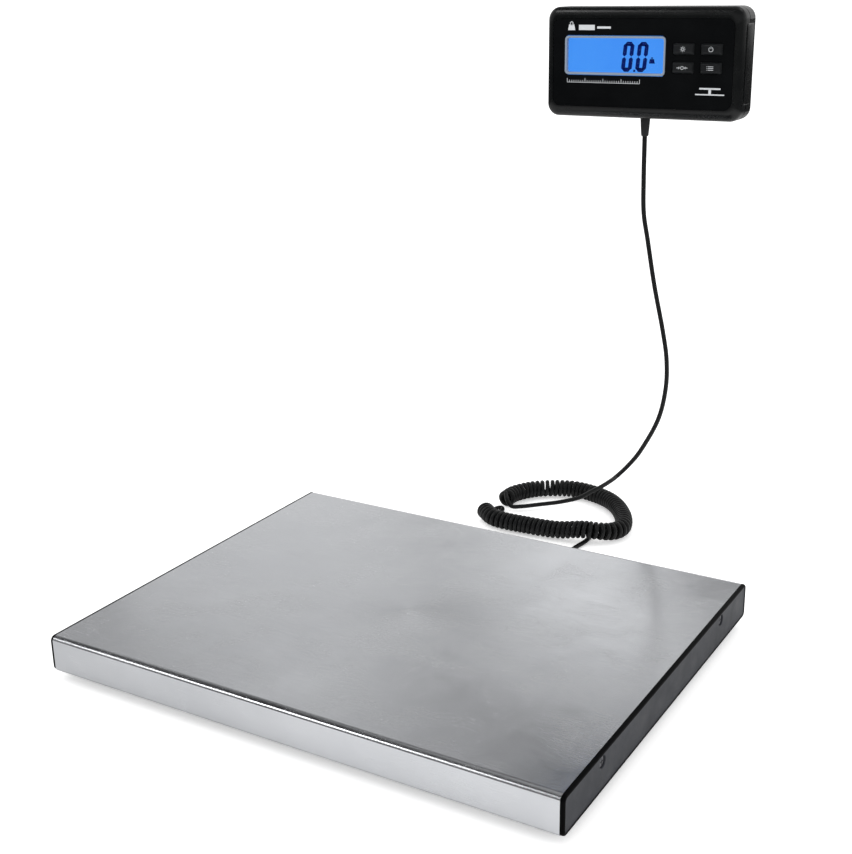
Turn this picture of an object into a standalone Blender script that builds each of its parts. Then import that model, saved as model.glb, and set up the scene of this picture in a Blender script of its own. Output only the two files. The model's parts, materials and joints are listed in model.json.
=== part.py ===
"""Platform shipping scale: a low weighing platform and a display head on a coiled cord.

Metres, +Z up. The floor is z = 0 and the origin is the centre of the whole set's footprint.
The front of the platform and the face of the display look along -Y.
"""
import math

import bmesh
import bpy
from mathutils import Vector

GAP = 0.0003                    # clearance between neighbouring pieces

# Platform, measured from its own centre on the floor
PLATFORM_Y = -0.08647           # puts the middle of the set's footprint on the origin
WIDTH = 0.381
DEPTH = 0.304
SKIRT_BOTTOM = 0.007
TOP = 0.033
SHEET = 0.0012                  # stainless cover
BEND_RADIUS = 0.003
RETURN_FLANGE = 0.008
CAP_THICKNESS = 0.004
CAP_EDGE_RADIUS = 0.0022
CAP_CORNER_RADIUS = 0.003
CAP_LEDGE_DEPTH = 0.0085
CAP_BOSS_RADIUS = 0.004
CAP_SCREW_Y = 0.100
CAP_SCREW_Z = 0.026
CAP_RECESS_RADIUS = 0.004
CAP_SEAT_DEPTH = 0.0031         # from the cap's face to the screw head's seat
CAP_HOLE_RADIUS = 0.0018
CAP_SCREW_RADIUS = 0.0015
CAP_SCREW_LENGTH = 0.0215
DRIVE_WIDTH = 0.0004            # half the width of a cross slot in a screw head

# Load path: rails under the platter, a cell under each rail end, a foot under each cell
CELL_X = 0.150
CELL_Y = 0.112
CELL_SIZE = 0.034
CELL_BOTTOM = 0.015
CELL_TOP = 0.018
CELL_SLOT = 0.0015
TONGUE_WIDTH = 0.015
RAIL_HALF_LENGTH = 0.172
RAIL_WALL = 0.0015
PAN_WALL = 0.0012
PAN_EDGE_TOP = 0.0120
PAN_BEND_RADIUS = 0.0021
PAN_RIB = (0.220, 0.012, 0.0012)
PAN_RIB_ROWS = (-0.055, -0.015)
PAN_HOLE_EXTRA = 0.002
FOOT_RADIUS = 0.0125
FOOT_FLANGE_RADIUS = 0.0165
FOOT_FLANGE = 0.0012
FOOT_STEM_RADIUS = 0.005
FOOT_TRAVEL = 0.0005
PAD_RADIUS = 0.0115
PAD_HEIGHT = 0.003

# Electronics in the platform
BOARD_CENTRE = (0.020, 0.045)
BOARD_SIZE = (0.050, 0.034)
BOARD_THICKNESS = 0.0016
BEDDING = 0.0004                # how far joined details sink into the piece that carries them
TERMINAL_HEIGHT = 0.007
TRIMMER_SIZE = (0.006, 0.006, 0.004)
TRIMMER_PITCH = 0.014
WIRE_RADIUS = 0.0009
WIRE_LANES = {-1: 0.1135, 1: 0.118}     # distance from the middle of the front and rear wires' runs
WIRE_ROW = 0.008

# Cord
CORD_RADIUS = 0.00185
GLAND_X = 0.020
GLAND_Z = 0.018
GLAND_NECK_RADIUS = 0.0038
GLAND_FLANGE_RADIUS = 0.0055
GLAND_LENGTH = 0.0041           # to each side of the skirt
FLOOR_CORD_Z = 0.0008 + CORD_RADIUS
INNER_CORD_Z = 0.0135           # between the pan and the rear rail
COIL_RADIUS = 0.00570           # from the coil's axis to the middle of the cord
COIL_TIGHT = 0.0038             # pitch where the turns nearly touch, on the inside of a bend
COIL_OPEN = 0.0044              # pitch where they stand apart
COIL_OPEN_RUNS = ((0.16, 0.44), (0.66, 1.05))   # shares of the coil's length that stand apart
COIL_STEPS = 6                  # points in one turn
COIL_Z = FLOOR_CORD_Z + COIL_RADIUS
COIL_RUN = (                    # the coil's axis seen from above, from its front left end
    (-0.0688, 0.2368), (-0.0510, 0.2245), (-0.0210, 0.2242), (0.0110, 0.2272), (0.0365, 0.2325),
    (0.0505, 0.2535), (0.0400, 0.2830), (0.0155, 0.3090), (-0.0200, 0.3185), (-0.0490, 0.3050),
    (-0.0630, 0.2850), (-0.0645, 0.2680),
)
CROSSING = (0.0305, 0.2305)     # where the platform lead passes under the coil
CROSSING_LIFT = 0.0042
CROSSING_SPREAD = 0.010
LEAD_FOOT = (0.0372, 0.2778, 0.0458)    # where the straight lead to the display begins

# Display head, measured from the platform's centre on the floor to the head's centre
HEAD = (0.0549, 0.2675, 0.384)
HEAD_WIDTH = 0.1552
HEAD_HEIGHT = 0.081
HEAD_DEPTH = 0.028
HEAD_CORNER = 0.009
FRONT_EDGE = 0.006
REAR_EDGE = 0.003
HEAD_WALL = 0.0022
LABEL_SIZE = (0.1424, 0.064)
LABEL_CORNER = 0.006
LABEL_THICKNESS = 0.0004
LABEL_RECESS = 0.0007
FACE_BACK = 0.0026              # depth of the front wall's inner side

WINDOW_CENTRE = (-0.0212, 0.0054)
FRAME_SIZE = (0.0812, 0.0284)
FRAME_CORNER = 0.0030
FRAME_BORDER = (0.0018, 0.0021)
FRAME_DEPTH = 0.0030
WINDOW_FRONT = 0.0006
WINDOW_BACK = 0.0018
PANEL_SIZE = (0.0816, 0.0304)
PANEL_FRONT = 0.0033
PANEL_BACK = 0.0055
LIGHT_BACK = 0.0083

KEY_COLUMNS = (0.0334, 0.0547)
KEY_ROWS = (0.0108, -0.0024)
KEY_SIZE = (0.0162, 0.0080)
KEY_TOP_SIZE = (0.0136, 0.0056)
KEY_PROUD = 0.0018
KEY_FLANGE_EXTRA = 0.0010
KEY_BACK = 0.0040
KEY_TRAVEL = 0.0008
MAT_SIZE = (0.037, 0.024)
MAT_FRONT = 0.0072
DOME_SIZE = (0.010, 0.005)
DOME_FRONT = KEY_BACK + KEY_TRAVEL + GAP

MAIN_BOARD_SIZE = (0.120, 0.054)
MAIN_BOARD_FRONT = 0.0086
MAIN_BOARD_BACK = 0.0102

SHELL_SCREW = (0.0680, 0.0305)
BOSS_RADIUS = 0.0036
SCREW_RADIUS = 0.00135
SCREW_HEAD_RADIUS = 0.0028
SCREW_SEAT = 0.0190             # depth at which the screw heads sit
SCREW_TIP = 0.0055

BAY_CENTRE = (0.0, 0.0045)
BAY_SIZE = (0.050, 0.036)
BAY_WALL = 0.0018
BAY_FLOOR = 0.0125
DOOR_SIZE = (0.0560, 0.0420)
DOOR_THICKNESS = 0.0017
BATTERY_RADIUS = 0.00520
BATTERY_LENGTH = 0.0435
BATTERY_PITCH = 0.0112

CONTACT_WIDTH = 0.008
CONTACT_THICKNESS = 0.0006
CONTACT_PAD = 0.003
GRIP_SIZE = (0.018, 0.001, 0.0006)      # width, height and depth of a finger groove
GRIP_PITCH = 0.0022

KEYHOLE_X = 0.045
KEYHOLE_Z = 0.016
KEYHOLE_RADIUS = 0.0036
KEYHOLE_SLOT = (0.0036, 0.009)
SOCKET = (-0.046, -0.018)
SOCKET_RADIUS = 0.0040
SOCKET_BODY = (0.0100, 0.0110)
SOCKET_BORE_RADIUS = 0.0028
SOCKET_PIN_RADIUS = 0.0010
SOCKET_DEPTH = 0.009

BOOT_TOP_RADIUS = 0.0038
BOOT_TIP_RADIUS = 0.0030
BOOT_LENGTH = 0.0140
BOOT_TIP_EDGE = 0.0006
BOOT_NECK_RADIUS = 0.0031
BOOT_FLANGE_RADIUS = 0.0055
BOOT_FLANGE = 0.0015


# ---------------------------------------------------------------- scene and materials

def clear_scene():
    for old in list(bpy.data.objects):
        bpy.data.objects.remove(old, do_unlink=True)


def make_material(name, colour, roughness, metallic=0.0):
    material = bpy.data.materials.new(name)
    material.use_nodes = True
    shader = material.node_tree.nodes["Principled BSDF"]
    shader.inputs["Base Color"].default_value = (*colour, 1.0)
    shader.inputs["Roughness"].default_value = roughness
    shader.inputs["Metallic"].default_value = metallic
    return material


def make_empty(name, location, parent=None):
    empty = bpy.data.objects.new(name, None)
    bpy.context.collection.objects.link(empty)
    empty.parent = parent
    empty.location = location
    return empty


def add(name, data, material, location=(0.0, 0.0, 0.0), parent=None):
    """Put mesh or curve data in the scene as a named piece."""
    piece = bpy.data.objects.new(name, data)
    bpy.context.collection.objects.link(piece)
    piece.parent = parent
    piece.location = location
    data.materials.append(material)
    return piece


def smooth(mesh, angle=35.0):
    mesh.shade_smooth()
    mesh.set_sharp_from_angle(angle=math.radians(angle))
    return mesh


# ---------------------------------------------------------------- shapes

def finish_mesh(bm, name="solid"):
    bmesh.ops.remove_doubles(bm, verts=bm.verts, dist=1e-7)
    bmesh.ops.recalc_face_normals(bm, faces=bm.faces)
    mesh = bpy.data.meshes.new(name)
    bm.to_mesh(mesh)
    bm.free()
    return mesh


def block(low, high):
    """A box between two corners."""
    bm = bmesh.new()
    bmesh.ops.create_cube(bm, size=1.0)
    for vert in bm.verts:
        share = vert.co + Vector((0.5, 0.5, 0.5))
        vert.co = [a + (b - a) * s for a, b, s in zip(low, high, share)]
    return finish_mesh(bm)


def place_2d(axis, a, b, along):
    """Turn a point of an outline into a point in space, for a prism along the axis."""
    return {"X": (along, a, b), "Y": (a, along, b), "Z": (a, b, along)}[axis]


def prism(outline, axis, start, end):
    """A closed outline pushed along an axis."""
    bm = bmesh.new()
    verts = [bm.verts.new(place_2d(axis, a, b, start)) for a, b in outline]
    face = bm.faces.new(verts)
    pushed = bmesh.ops.extrude_face_region(bm, geom=[face])
    shift = Vector(place_2d(axis, 0.0, 0.0, end - start))
    moved = [item for item in pushed["geom"] if isinstance(item, bmesh.types.BMVert)]
    bmesh.ops.translate(bm, verts=moved, vec=shift)
    return finish_mesh(bm)


def arc(centre, radius, start, end, steps):
    """Points on an arc, both ends included."""
    angles = [start + (end - start) * i / steps for i in range(steps + 1)]
    return [(centre[0] + radius * math.cos(t), centre[1] + radius * math.sin(t)) for t in angles]


def rounded_rectangle(width, height, radius, centre=(0.0, 0.0), steps=4):
    points = []
    for turn, (side_x, side_y) in enumerate(((1, 1), (-1, 1), (-1, -1), (1, -1))):
        corner_x = centre[0] + side_x * (width / 2 - radius)
        corner_y = centre[1] + side_y * (height / 2 - radius)
        start = turn * math.pi / 2
        points += arc((corner_x, corner_y), radius, start, start + math.pi / 2, steps)
    return points


def plate(size, radius, front, back, centre=(0.0, 0.0), steps=4):
    """A rounded plate in the display head, from one depth behind its face to another."""
    outline = rounded_rectangle(size[0], size[1], radius, centre, steps)
    return prism(outline, "Y", from_face(front), from_face(back))


def revolved(profile, axis="Z", sides=24, ring=False):
    """Turn a profile of (radius, height) points about an axis. A ring profile closes on itself."""
    bm = bmesh.new()
    loops = []
    for radius, height in profile:
        if radius == 0.0:
            loops.append([bm.verts.new(place_2d(axis, 0.0, 0.0, height))] * sides)
            continue
        turns = [2 * math.pi * i / sides for i in range(sides)]
        loops.append([
            bm.verts.new(place_2d(axis, radius * math.cos(t), radius * math.sin(t), height))
            for t in turns
        ])
    pairs = list(zip(loops, loops[1:]))
    if ring:
        pairs.append((loops[-1], loops[0]))
    for lower, upper in pairs:
        for i in range(sides):
            after = (i + 1) % sides
            corners = [lower[i], lower[after], upper[after], upper[i]]
            bm.faces.new(list(dict.fromkeys(corners)))
    if not ring:
        for loop in (loops[0], loops[-1]):
            if loop[0] is not loop[1]:
                bm.faces.new(loop)
    return smooth(finish_mesh(bm))


def rod(radius, start, end, axis, centre=(0.0, 0.0), sides=24):
    """A round bar along an axis, through the given centre."""
    mesh = revolved([(radius, start), (radius, end)], axis, sides)
    shift = Vector(place_2d(axis, centre[0], centre[1], 0.0))
    for vert in mesh.vertices:
        vert.co += shift
    return mesh


def folded_sheet(corners, thickness, radius, steps=4):
    """The closed outline of a sheet whose middle runs through the corners, bent at each one."""
    middle = [Vector(corners[0])]
    for before, corner, after in zip(corners, corners[1:], corners[2:]):
        corner = Vector(corner)
        inward = (Vector(before) - corner).normalized()
        outward = (Vector(after) - corner).normalized()
        centre = corner + (inward + outward) * radius
        for i in range(steps + 1):
            share = math.radians(90) * i / steps
            middle.append(centre - outward * radius * math.cos(share) - inward * radius * math.sin(share))
    middle.append(Vector(corners[-1]))
    one_side, other_side = [], []
    for i, point in enumerate(middle):
        before = middle[max(i - 1, 0)]
        after = middle[min(i + 1, len(middle) - 1)]
        along = (after - before).normalized()
        normal = Vector((-along.y, along.x)) * thickness / 2
        one_side.append(tuple(point + normal))
        other_side.append(tuple(point - normal))
    return one_side + other_side[::-1]


def combine(mesh, tools, operation):
    """The mesh after a Boolean with each tool, all in one local frame."""
    body = bpy.data.objects.new("body", mesh)
    bpy.context.collection.objects.link(body)
    helpers = []
    for tool in tools:
        helper = bpy.data.objects.new("tool", tool)
        bpy.context.collection.objects.link(helper)
        modifier = body.modifiers.new("combine", "BOOLEAN")
        modifier.operation = operation
        modifier.solver = "EXACT"
        modifier.object = helper
        helpers.append(helper)
    bpy.context.view_layer.update()
    evaluated = body.evaluated_get(bpy.context.evaluated_depsgraph_get())
    result = bpy.data.meshes.new_from_object(evaluated)
    for item in [body, *helpers]:
        bpy.data.objects.remove(item, do_unlink=True)
    return result


def cut(mesh, *tools):
    return combine(mesh, tools, "DIFFERENCE")


def join(mesh, *tools):
    return combine(mesh, tools, "UNION")


def from_face(depth):
    """Y in the display head's own frame, for a depth behind its front face."""
    return depth - HEAD_DEPTH / 2


# ---------------------------------------------------------------- platform

def platter_cover_mesh():
    """Sheet folded down at the front and the back, each skirt with a flange turned inwards."""
    side = DEPTH / 2 - SHEET / 2
    low = SKIRT_BOTTOM + SHEET / 2
    high = TOP - SHEET / 2
    flange = side - RETURN_FLANGE
    corners = [(-flange, low), (-side, low), (-side, high), (side, high), (side, low), (flange, low)]
    outline = folded_sheet(corners, SHEET, BEND_RADIUS - SHEET / 2)
    half = WIDTH / 2 - CAP_THICKNESS - GAP
    sheet = prism(outline, "X", -half, half)
    hole_radius = GLAND_NECK_RADIUS + GAP
    reach = SHEET * 3
    gland_hole = rod(hole_radius, DEPTH / 2 - reach, DEPTH / 2 + reach, "Y", (GLAND_X, GLAND_Z))
    return smooth(cut(sheet, gland_hole))


def end_cap_mesh(side):
    """Moulded cap with a rounded rim, a ledge for the pan and two bosses towards the rails."""
    outer = WIDTH / 2
    inner = outer - CAP_THICKNESS
    height = TOP - SKIRT_BOTTOM
    middle = SKIRT_BOTTOM + height / 2
    outline = rounded_rectangle(DEPTH, height, CAP_CORNER_RADIUS, (0.0, middle), 4)
    bm = bmesh.new()
    bm.from_mesh(prism(outline, "X", inner, outer))
    rim = [edge for edge in bm.edges if all(abs(v.co.x - outer) < 1e-6 for v in edge.verts)]
    bmesh.ops.bevel(bm, geom=rim, offset=CAP_EDGE_RADIUS, segments=4, profile=0.5, affect="EDGES")
    cap = finish_mesh(bm)
    overlap = 0.001
    ledge_top = SKIRT_BOTTOM + SHEET
    ledge_y = DEPTH / 2 - RETURN_FLANGE - 0.004
    ledge = block(
        (inner - CAP_LEDGE_DEPTH, -ledge_y, SKIRT_BOTTOM + GAP),
        (inner + overlap, ledge_y, ledge_top),
    )
    rail_end = RAIL_HALF_LENGTH + GAP
    holes, bosses = [], []
    for y in (-CAP_SCREW_Y, CAP_SCREW_Y):
        place = (y, CAP_SCREW_Z)
        bosses.append(rod(CAP_BOSS_RADIUS, rail_end, inner + overlap, "X", place, 16))
        holes.append(rod(CAP_HOLE_RADIUS, rail_end - overlap, outer + overlap, "X", place, 16))
        holes.append(rod(CAP_RECESS_RADIUS, outer - CAP_SEAT_DEPTH, outer + overlap, "X", place))
    mesh = cut(join(cap, ledge, *bosses), *holes)
    if side < 0:
        for vert in mesh.vertices:
            vert.co.x = -vert.co.x
        mesh.flip_normals()
    return smooth(mesh)


def cap_screw_mesh(side):
    """Pan-head screw along X with a cross slot, about its own seat."""
    head_radius = CAP_RECESS_RADIUS - GAP
    head_height = 0.0014
    length = CAP_SCREW_LENGTH
    thread = CAP_SCREW_RADIUS
    profile = [
        (0.0, -length), (thread * 0.6, -length), (thread, -length + thread), (thread, 0.0),
        (head_radius, 0.0), (head_radius, head_height / 2), (head_radius * 0.75, head_height * 0.9),
        (0.0, head_height),
    ]
    mesh = revolved(profile, "X", 12)
    low, high = head_height / 2, head_height * 1.4
    arm = head_radius * 0.65
    slot = block((low, -DRIVE_WIDTH, -arm), (high, DRIVE_WIDTH, arm))
    cross = block((low, -arm, -DRIVE_WIDTH), (high, arm, DRIVE_WIDTH))
    mesh = cut(mesh, join(slot, cross))
    if side < 0:
        for vert in mesh.vertices:
            vert.co.x = -vert.co.x
        mesh.flip_normals()
    return smooth(mesh)


def base_pan_mesh():
    """Tray that closes the underside, with a hole for each foot and two pressed ribs."""
    half_y = DEPTH / 2 - SHEET - GAP * 2
    low = SKIRT_BOTTOM + SHEET + GAP + PAN_WALL / 2
    corners = [(-half_y, PAN_EDGE_TOP), (-half_y, low), (half_y, low), (half_y, PAN_EDGE_TOP)]
    half_x = WIDTH / 2 - CAP_THICKNESS - GAP * 2
    tray = prism(folded_sheet(corners, PAN_WALL, PAN_BEND_RADIUS, 2), "X", -half_x, half_x)
    top = low + PAN_WALL / 2
    length, width, height = PAN_RIB
    ribs = [
        block((-length / 2, y - width / 2, top - BEDDING), (length / 2, y + width / 2, top + height))
        for y in PAN_RIB_ROWS
    ]
    holes = [
        rod(FOOT_RADIUS + PAN_HOLE_EXTRA, 0.0, CELL_TOP, "Z", (x * CELL_X, y * CELL_Y))
        for x in (-1, 1) for y in (-1, 1)
    ]
    return cut(join(tray, *ribs), *holes)


def rail_mesh():
    """Inverted channel along X; its legs stand on the outer frames of two load cells."""
    half = CELL_SIZE / 2 - RAIL_WALL / 2
    top = TOP - SHEET - GAP - RAIL_WALL / 2
    bottom = CELL_TOP + GAP
    corners = [(-half, bottom), (-half, top), (half, top), (half, bottom)]
    outline = folded_sheet(corners, RAIL_WALL, 0.002, 2)
    channel = prism(outline, "X", -RAIL_HALF_LENGTH, RAIL_HALF_LENGTH)
    ends = []
    for side in (-1, 1):
        near, far = sorted((side * RAIL_HALF_LENGTH, side * (RAIL_HALF_LENGTH - RAIL_WALL)))
        ends.append(block((near, -half, bottom + 0.001), (far, half, top)))
    return join(channel, *ends)


def drilled_rail_mesh(row):
    """The rail with a screw hole in each end wall, where the end caps' screws come in."""
    screw_y = row * (CAP_SCREW_Y - CELL_Y)
    reach = RAIL_HALF_LENGTH + 0.002
    hole = rod(CAP_HOLE_RADIUS, -reach, reach, "X", (screw_y, CAP_SCREW_Z), 16)
    return smooth(cut(rail_mesh(), hole))


def load_cell_mesh():
    """Square steel cell: a slot on three sides frees a tongue that rests on the foot."""
    half = CELL_SIZE / 2
    body = prism(rounded_rectangle(CELL_SIZE, CELL_SIZE, 0.003, steps=2), "Z", CELL_BOTTOM, CELL_TOP)
    low, high = CELL_BOTTOM - 0.001, CELL_TOP + 0.001
    inner = TONGUE_WIDTH / 2
    outer = inner + CELL_SLOT
    reach = half * 0.6
    slots = [
        block((-outer, -reach, low), (-inner, reach, high)),
        block((inner, -reach, low), (outer, reach, high)),
        block((-outer, -reach - CELL_SLOT, low), (outer, -reach, high)),
    ]
    return cut(body, *slots)


def foot_mesh():
    """Turned foot: the flange stays above the pan and the stem carries the cell's tongue."""
    pan_top = SKIRT_BOTTOM + SHEET + GAP + PAN_WALL
    flange = pan_top + GAP
    stem_top = CELL_BOTTOM - GAP - FOOT_TRAVEL
    profile = [
        (0.0, PAD_HEIGHT + GAP), (FOOT_RADIUS - 0.0008, PAD_HEIGHT + GAP),
        (FOOT_RADIUS, PAD_HEIGHT + GAP + 0.0008), (FOOT_RADIUS, flange),
        (FOOT_FLANGE_RADIUS, flange), (FOOT_FLANGE_RADIUS, flange + FOOT_FLANGE),
        (FOOT_STEM_RADIUS, flange + FOOT_FLANGE), (FOOT_STEM_RADIUS * 0.8, stem_top), (0.0, stem_top),
    ]
    return revolved(profile, "Z", 16)


def foot_pad_mesh():
    edge = 0.0006
    profile = [
        (0.0, 0.0), (PAD_RADIUS - edge, 0.0), (PAD_RADIUS, edge), (PAD_RADIUS, PAD_HEIGHT - edge),
        (PAD_RADIUS - edge, PAD_HEIGHT), (0.0, PAD_HEIGHT),
    ]
    return revolved(profile, "Z", 16)


def junction_board_mesh():
    """Bare board with a terminal block and a row of trimmers."""
    low = SKIRT_BOTTOM + SHEET + GAP + PAN_WALL + GAP
    top = low + BOARD_THICKNESS
    width, depth = BOARD_SIZE
    board = block((-width / 2, -depth / 2, low), (width / 2, depth / 2, top))
    terminal = block((-0.016, 0.006, top - BEDDING), (0.012, 0.014, top + TERMINAL_HEIGHT))
    long, deep, high = TRIMMER_SIZE
    trimmers = []
    for i in range(3):
        x = -0.020 + i * TRIMMER_PITCH
        trimmers.append(block((x, -0.013, top - BEDDING), (x + long, -0.013 + deep, top + high)))
    return join(board, terminal, *trimmers)


def cord_gland_mesh():
    """Rubber grommet along Y: a flange on both sides of the skirt and a bore for the cord."""
    bore = CORD_RADIUS + 1.5 * GAP
    neck = GLAND_NECK_RADIUS
    flange = GLAND_FLANGE_RADIUS
    length = GLAND_LENGTH
    inside = -SHEET - GAP
    profile = [
        (bore, -length), (flange * 0.87, -length), (flange, inside - 0.0008), (flange, inside),
        (neck, inside), (neck, GAP), (flange, GAP), (flange, length * 0.3), (flange * 0.65, length),
        (bore, length),
    ]
    return revolved(profile, "Y", 12, ring=True)


def round_cord(points, radius, resolution=1):
    """A round cord through the points, with closed ends."""
    curve = bpy.data.curves.new("cord", "CURVE")
    curve.dimensions = "3D"
    curve.bevel_depth = radius
    curve.bevel_resolution = resolution
    curve.use_fill_caps = True
    spline = curve.splines.new("POLY")
    spline.points.add(len(points) - 1)
    for target, point in zip(spline.points, points):
        target.co = (*point, 1.0)
    return curve


def through(stops, steps=4):
    """A smooth run of points through the stops (Catmull-Rom)."""
    stops = [Vector(stop) for stop in stops]
    padded = [stops[0] * 2 - stops[1], *stops, stops[-1] * 2 - stops[-2]]
    points = []
    for a, b, c, d in zip(padded, padded[1:], padded[2:], padded[3:]):
        for i in range(steps):
            t = i / steps
            bend = (2 * a - 5 * b + 4 * c - d) * t ** 2
            twist = (3 * b - a - 3 * c + d) * t ** 3
            points.append(0.5 * (2 * b + (c - a) * t + bend + twist))
    return points + [stops[-1]]


def cell_wire(side, row):
    """Wire bundle from a load cell to the junction board, just above the pan."""
    board_x = BOARD_CENTRE[0] + side * (BOARD_SIZE[0] / 2 + GAP + 0.001)
    board_y = BOARD_CENTRE[1] + row * WIRE_ROW
    run_z = SKIRT_BOTTOM + SHEET + PAN_WALL + GAP * 3 + WIRE_RADIUS
    start_x = side * (CELL_X - CELL_SIZE / 2 - GAP * 2)
    start_y = row * (CELL_Y - 0.010)
    lane_x = side * WIRE_LANES[row]
    stops = [
        (start_x, start_y, CELL_BOTTOM + 0.0015),
        (start_x - side * 0.006, start_y, run_z + 0.001),
        (lane_x, start_y - row * 0.012, run_z),
        (lane_x, board_y + row * 0.010, run_z),
        (lane_x - side * 0.010, board_y, run_z),
        (board_x, board_y, run_z),
    ]
    return round_cord(through(stops, 3), WIRE_RADIUS)


# ---------------------------------------------------------------- cord

def coil_pitch(share, bend):
    """Distance between turns at a share of the coil's length, wider where the axis bends."""
    slope = 0.05
    apart = 0.0
    for start, end in COIL_OPEN_RUNS:
        apart = max(apart, min((share - start) / slope, (end - share) / slope, 1.0))
    return (COIL_TIGHT + (COIL_OPEN - COIL_TIGHT) * apart) / (1 - abs(bend) * COIL_RADIUS)


def coil_stations():
    """Points close together on the coil's axis, each with the turns wound so far and its normal."""
    path = through([(x, y, 0.0) for x, y in COIL_RUN], 12)
    lengths = [(b - a).length for a, b in zip(path, path[1:])]
    total = sum(lengths)
    headings = [math.atan2(b.y - a.y, b.x - a.x) for a, b in zip(path, path[1:])]
    run = turns = 0.0
    stations = []
    for i, point in enumerate(path):
        heading = headings[min(i, len(headings) - 1)]
        turned = math.remainder(heading - headings[max(i - 1, 0)], 2 * math.pi)
        normal = Vector((math.sin(heading), -math.cos(heading), 0.0))
        stations.append((turns, point, normal))
        if i < len(lengths):
            run += lengths[i]
            turns += lengths[i] / coil_pitch(run / total, turned / lengths[i])
    return stations


def coil_points():
    """The helix: it starts under the axis, where the platform lead comes in, and ends above it."""
    stations = coil_stations()
    whole = round(stations[-1][0])
    stretch = stations[-1][0] / (whole + 0.5)
    points = []
    level = 0
    for i in range(whole * COIL_STEPS + COIL_STEPS // 2 + 1):
        turn = i / COIL_STEPS
        while level < len(stations) - 2 and stations[level + 1][0] < turn * stretch:
            level += 1
        before, after = stations[level], stations[level + 1]
        share = (turn * stretch - before[0]) / (after[0] - before[0])
        middle = before[1].lerp(after[1], share)
        normal = before[2].lerp(after[2], share).normalized()
        nearness = (Vector((*CROSSING, 0.0)) - middle).length / CROSSING_SPREAD
        rise = Vector((0.0, 0.0, COIL_Z + CROSSING_LIFT * math.exp(-nearness ** 2)))
        angle = 2 * math.pi * (turn - 0.25)
        around = normal * math.cos(angle) + Vector((0.0, 0.0, math.sin(angle)))
        points.append(middle + rise + around * COIL_RADIUS)
    return points


def platform_lead_points():
    """From the junction board, out of the gland, under the coil and up to its front left end."""
    rear = DEPTH / 2
    stops = [
        (GLAND_X, BOARD_CENTRE[1] + BOARD_SIZE[1] / 2 + 0.004, INNER_CORD_Z),
        (GLAND_X, CELL_Y, INNER_CORD_Z),
        (GLAND_X, rear - 0.022, INNER_CORD_Z),
        (GLAND_X, rear - 0.009, GLAND_Z),
        (GLAND_X, rear - 0.005, GLAND_Z),
        (GLAND_X, rear + 0.005, GLAND_Z),
        (GLAND_X, rear + 0.008, GLAND_Z - 0.0002),
        (GLAND_X + 0.0005, rear + 0.017, 0.0125),
        (GLAND_X + 0.003, rear + 0.030, 0.0047),
        (GLAND_X + 0.0065, rear + 0.048, FLOOR_CORD_Z),
        (GLAND_X + 0.0090, rear + 0.065, FLOOR_CORD_Z),
        (*CROSSING, FLOOR_CORD_Z),
        (0.0280, 0.2430, FLOOR_CORD_Z),
        (0.0160, 0.2470, FLOOR_CORD_Z),
        (-0.0100, 0.2430, FLOOR_CORD_Z),
        (-0.0350, 0.2425, FLOOR_CORD_Z),
        (-0.0520, 0.2440, FLOOR_CORD_Z),
        (-0.0608, 0.2510, FLOOR_CORD_Z),
        (-0.0622, 0.2575, FLOOR_CORD_Z),
        (-0.0650, 0.2605, FLOOR_CORD_Z),
        (-0.0680, 0.2575, FLOOR_CORD_Z),
        (-0.0690, 0.2480, FLOOR_CORD_Z),
        tuple(coil_points()[0]),
    ]
    return through(stops)[:-1]


def loop_points():
    """From the coil's rear left end, through the ring and up to the foot of the straight lead."""
    stops = [
        tuple(coil_points()[-1]),
        (-0.0610, 0.2630, 0.0110),
        (-0.0560, 0.2625, 0.0050),
        (-0.0480, 0.2675, 0.0045),
        (-0.0372, 0.2765, 0.0050),
        (-0.0206, 0.2870, 0.0070),
        (-0.0050, 0.2927, 0.0120),
        (0.0067, 0.2931, 0.0200),
        (0.0172, 0.2909, 0.0275),
        (0.0288, 0.2850, 0.0375),
        LEAD_FOOT,
    ]
    return through(stops)[1:]


def display_lead_points():
    """The straight lead: it bows out to the right and ends upright in the head's boot."""
    x, y, z = HEAD
    bottom = z - HEAD_HEIGHT / 2
    start = Vector(LEAD_FOOT)
    stops = [
        tuple(start + Vector((0.0004, -0.0001, 0.0005))),
        (0.0473, 0.2746, 0.0573),
        (0.0592, 0.2713, 0.0737),
        (0.0743, 0.2679, 0.1032),
        (0.0800, y, 0.1300),
        (0.0799, y, 0.1546),
        (0.0756, y, 0.1788),
        (0.0672, y, 0.2143),
        (0.0603, y, 0.2495),
        (0.0562, y, 0.2710),
        (0.0552, y, 0.2960),
        (x, y, bottom - BOOT_LENGTH - 0.004),
        (x, y, bottom),
        (x, y, bottom + 0.008),
    ]
    return through(stops, 4)


# ---------------------------------------------------------------- display head

def shell_block(front, back, edge_depth, edge_radius):
    """A rounded block between two depths, with one of its two faces' edges rounded."""
    outline = rounded_rectangle(HEAD_WIDTH, HEAD_HEIGHT, HEAD_CORNER, steps=6)
    bm = bmesh.new()
    bm.from_mesh(prism(outline, "Y", from_face(front), from_face(back)))
    level = from_face(edge_depth)
    rim = [edge for edge in bm.edges if all(abs(v.co.y - level) < 1e-6 for v in edge.verts)]
    bmesh.ops.bevel(bm, geom=rim, offset=edge_radius, segments=5, profile=0.5, affect="EDGES")
    return finish_mesh(bm)


def cavity(front, back):
    size = (HEAD_WIDTH - 2 * HEAD_WALL, HEAD_HEIGHT - 2 * HEAD_WALL)
    return plate(size, HEAD_CORNER - HEAD_WALL, front, back)


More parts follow.
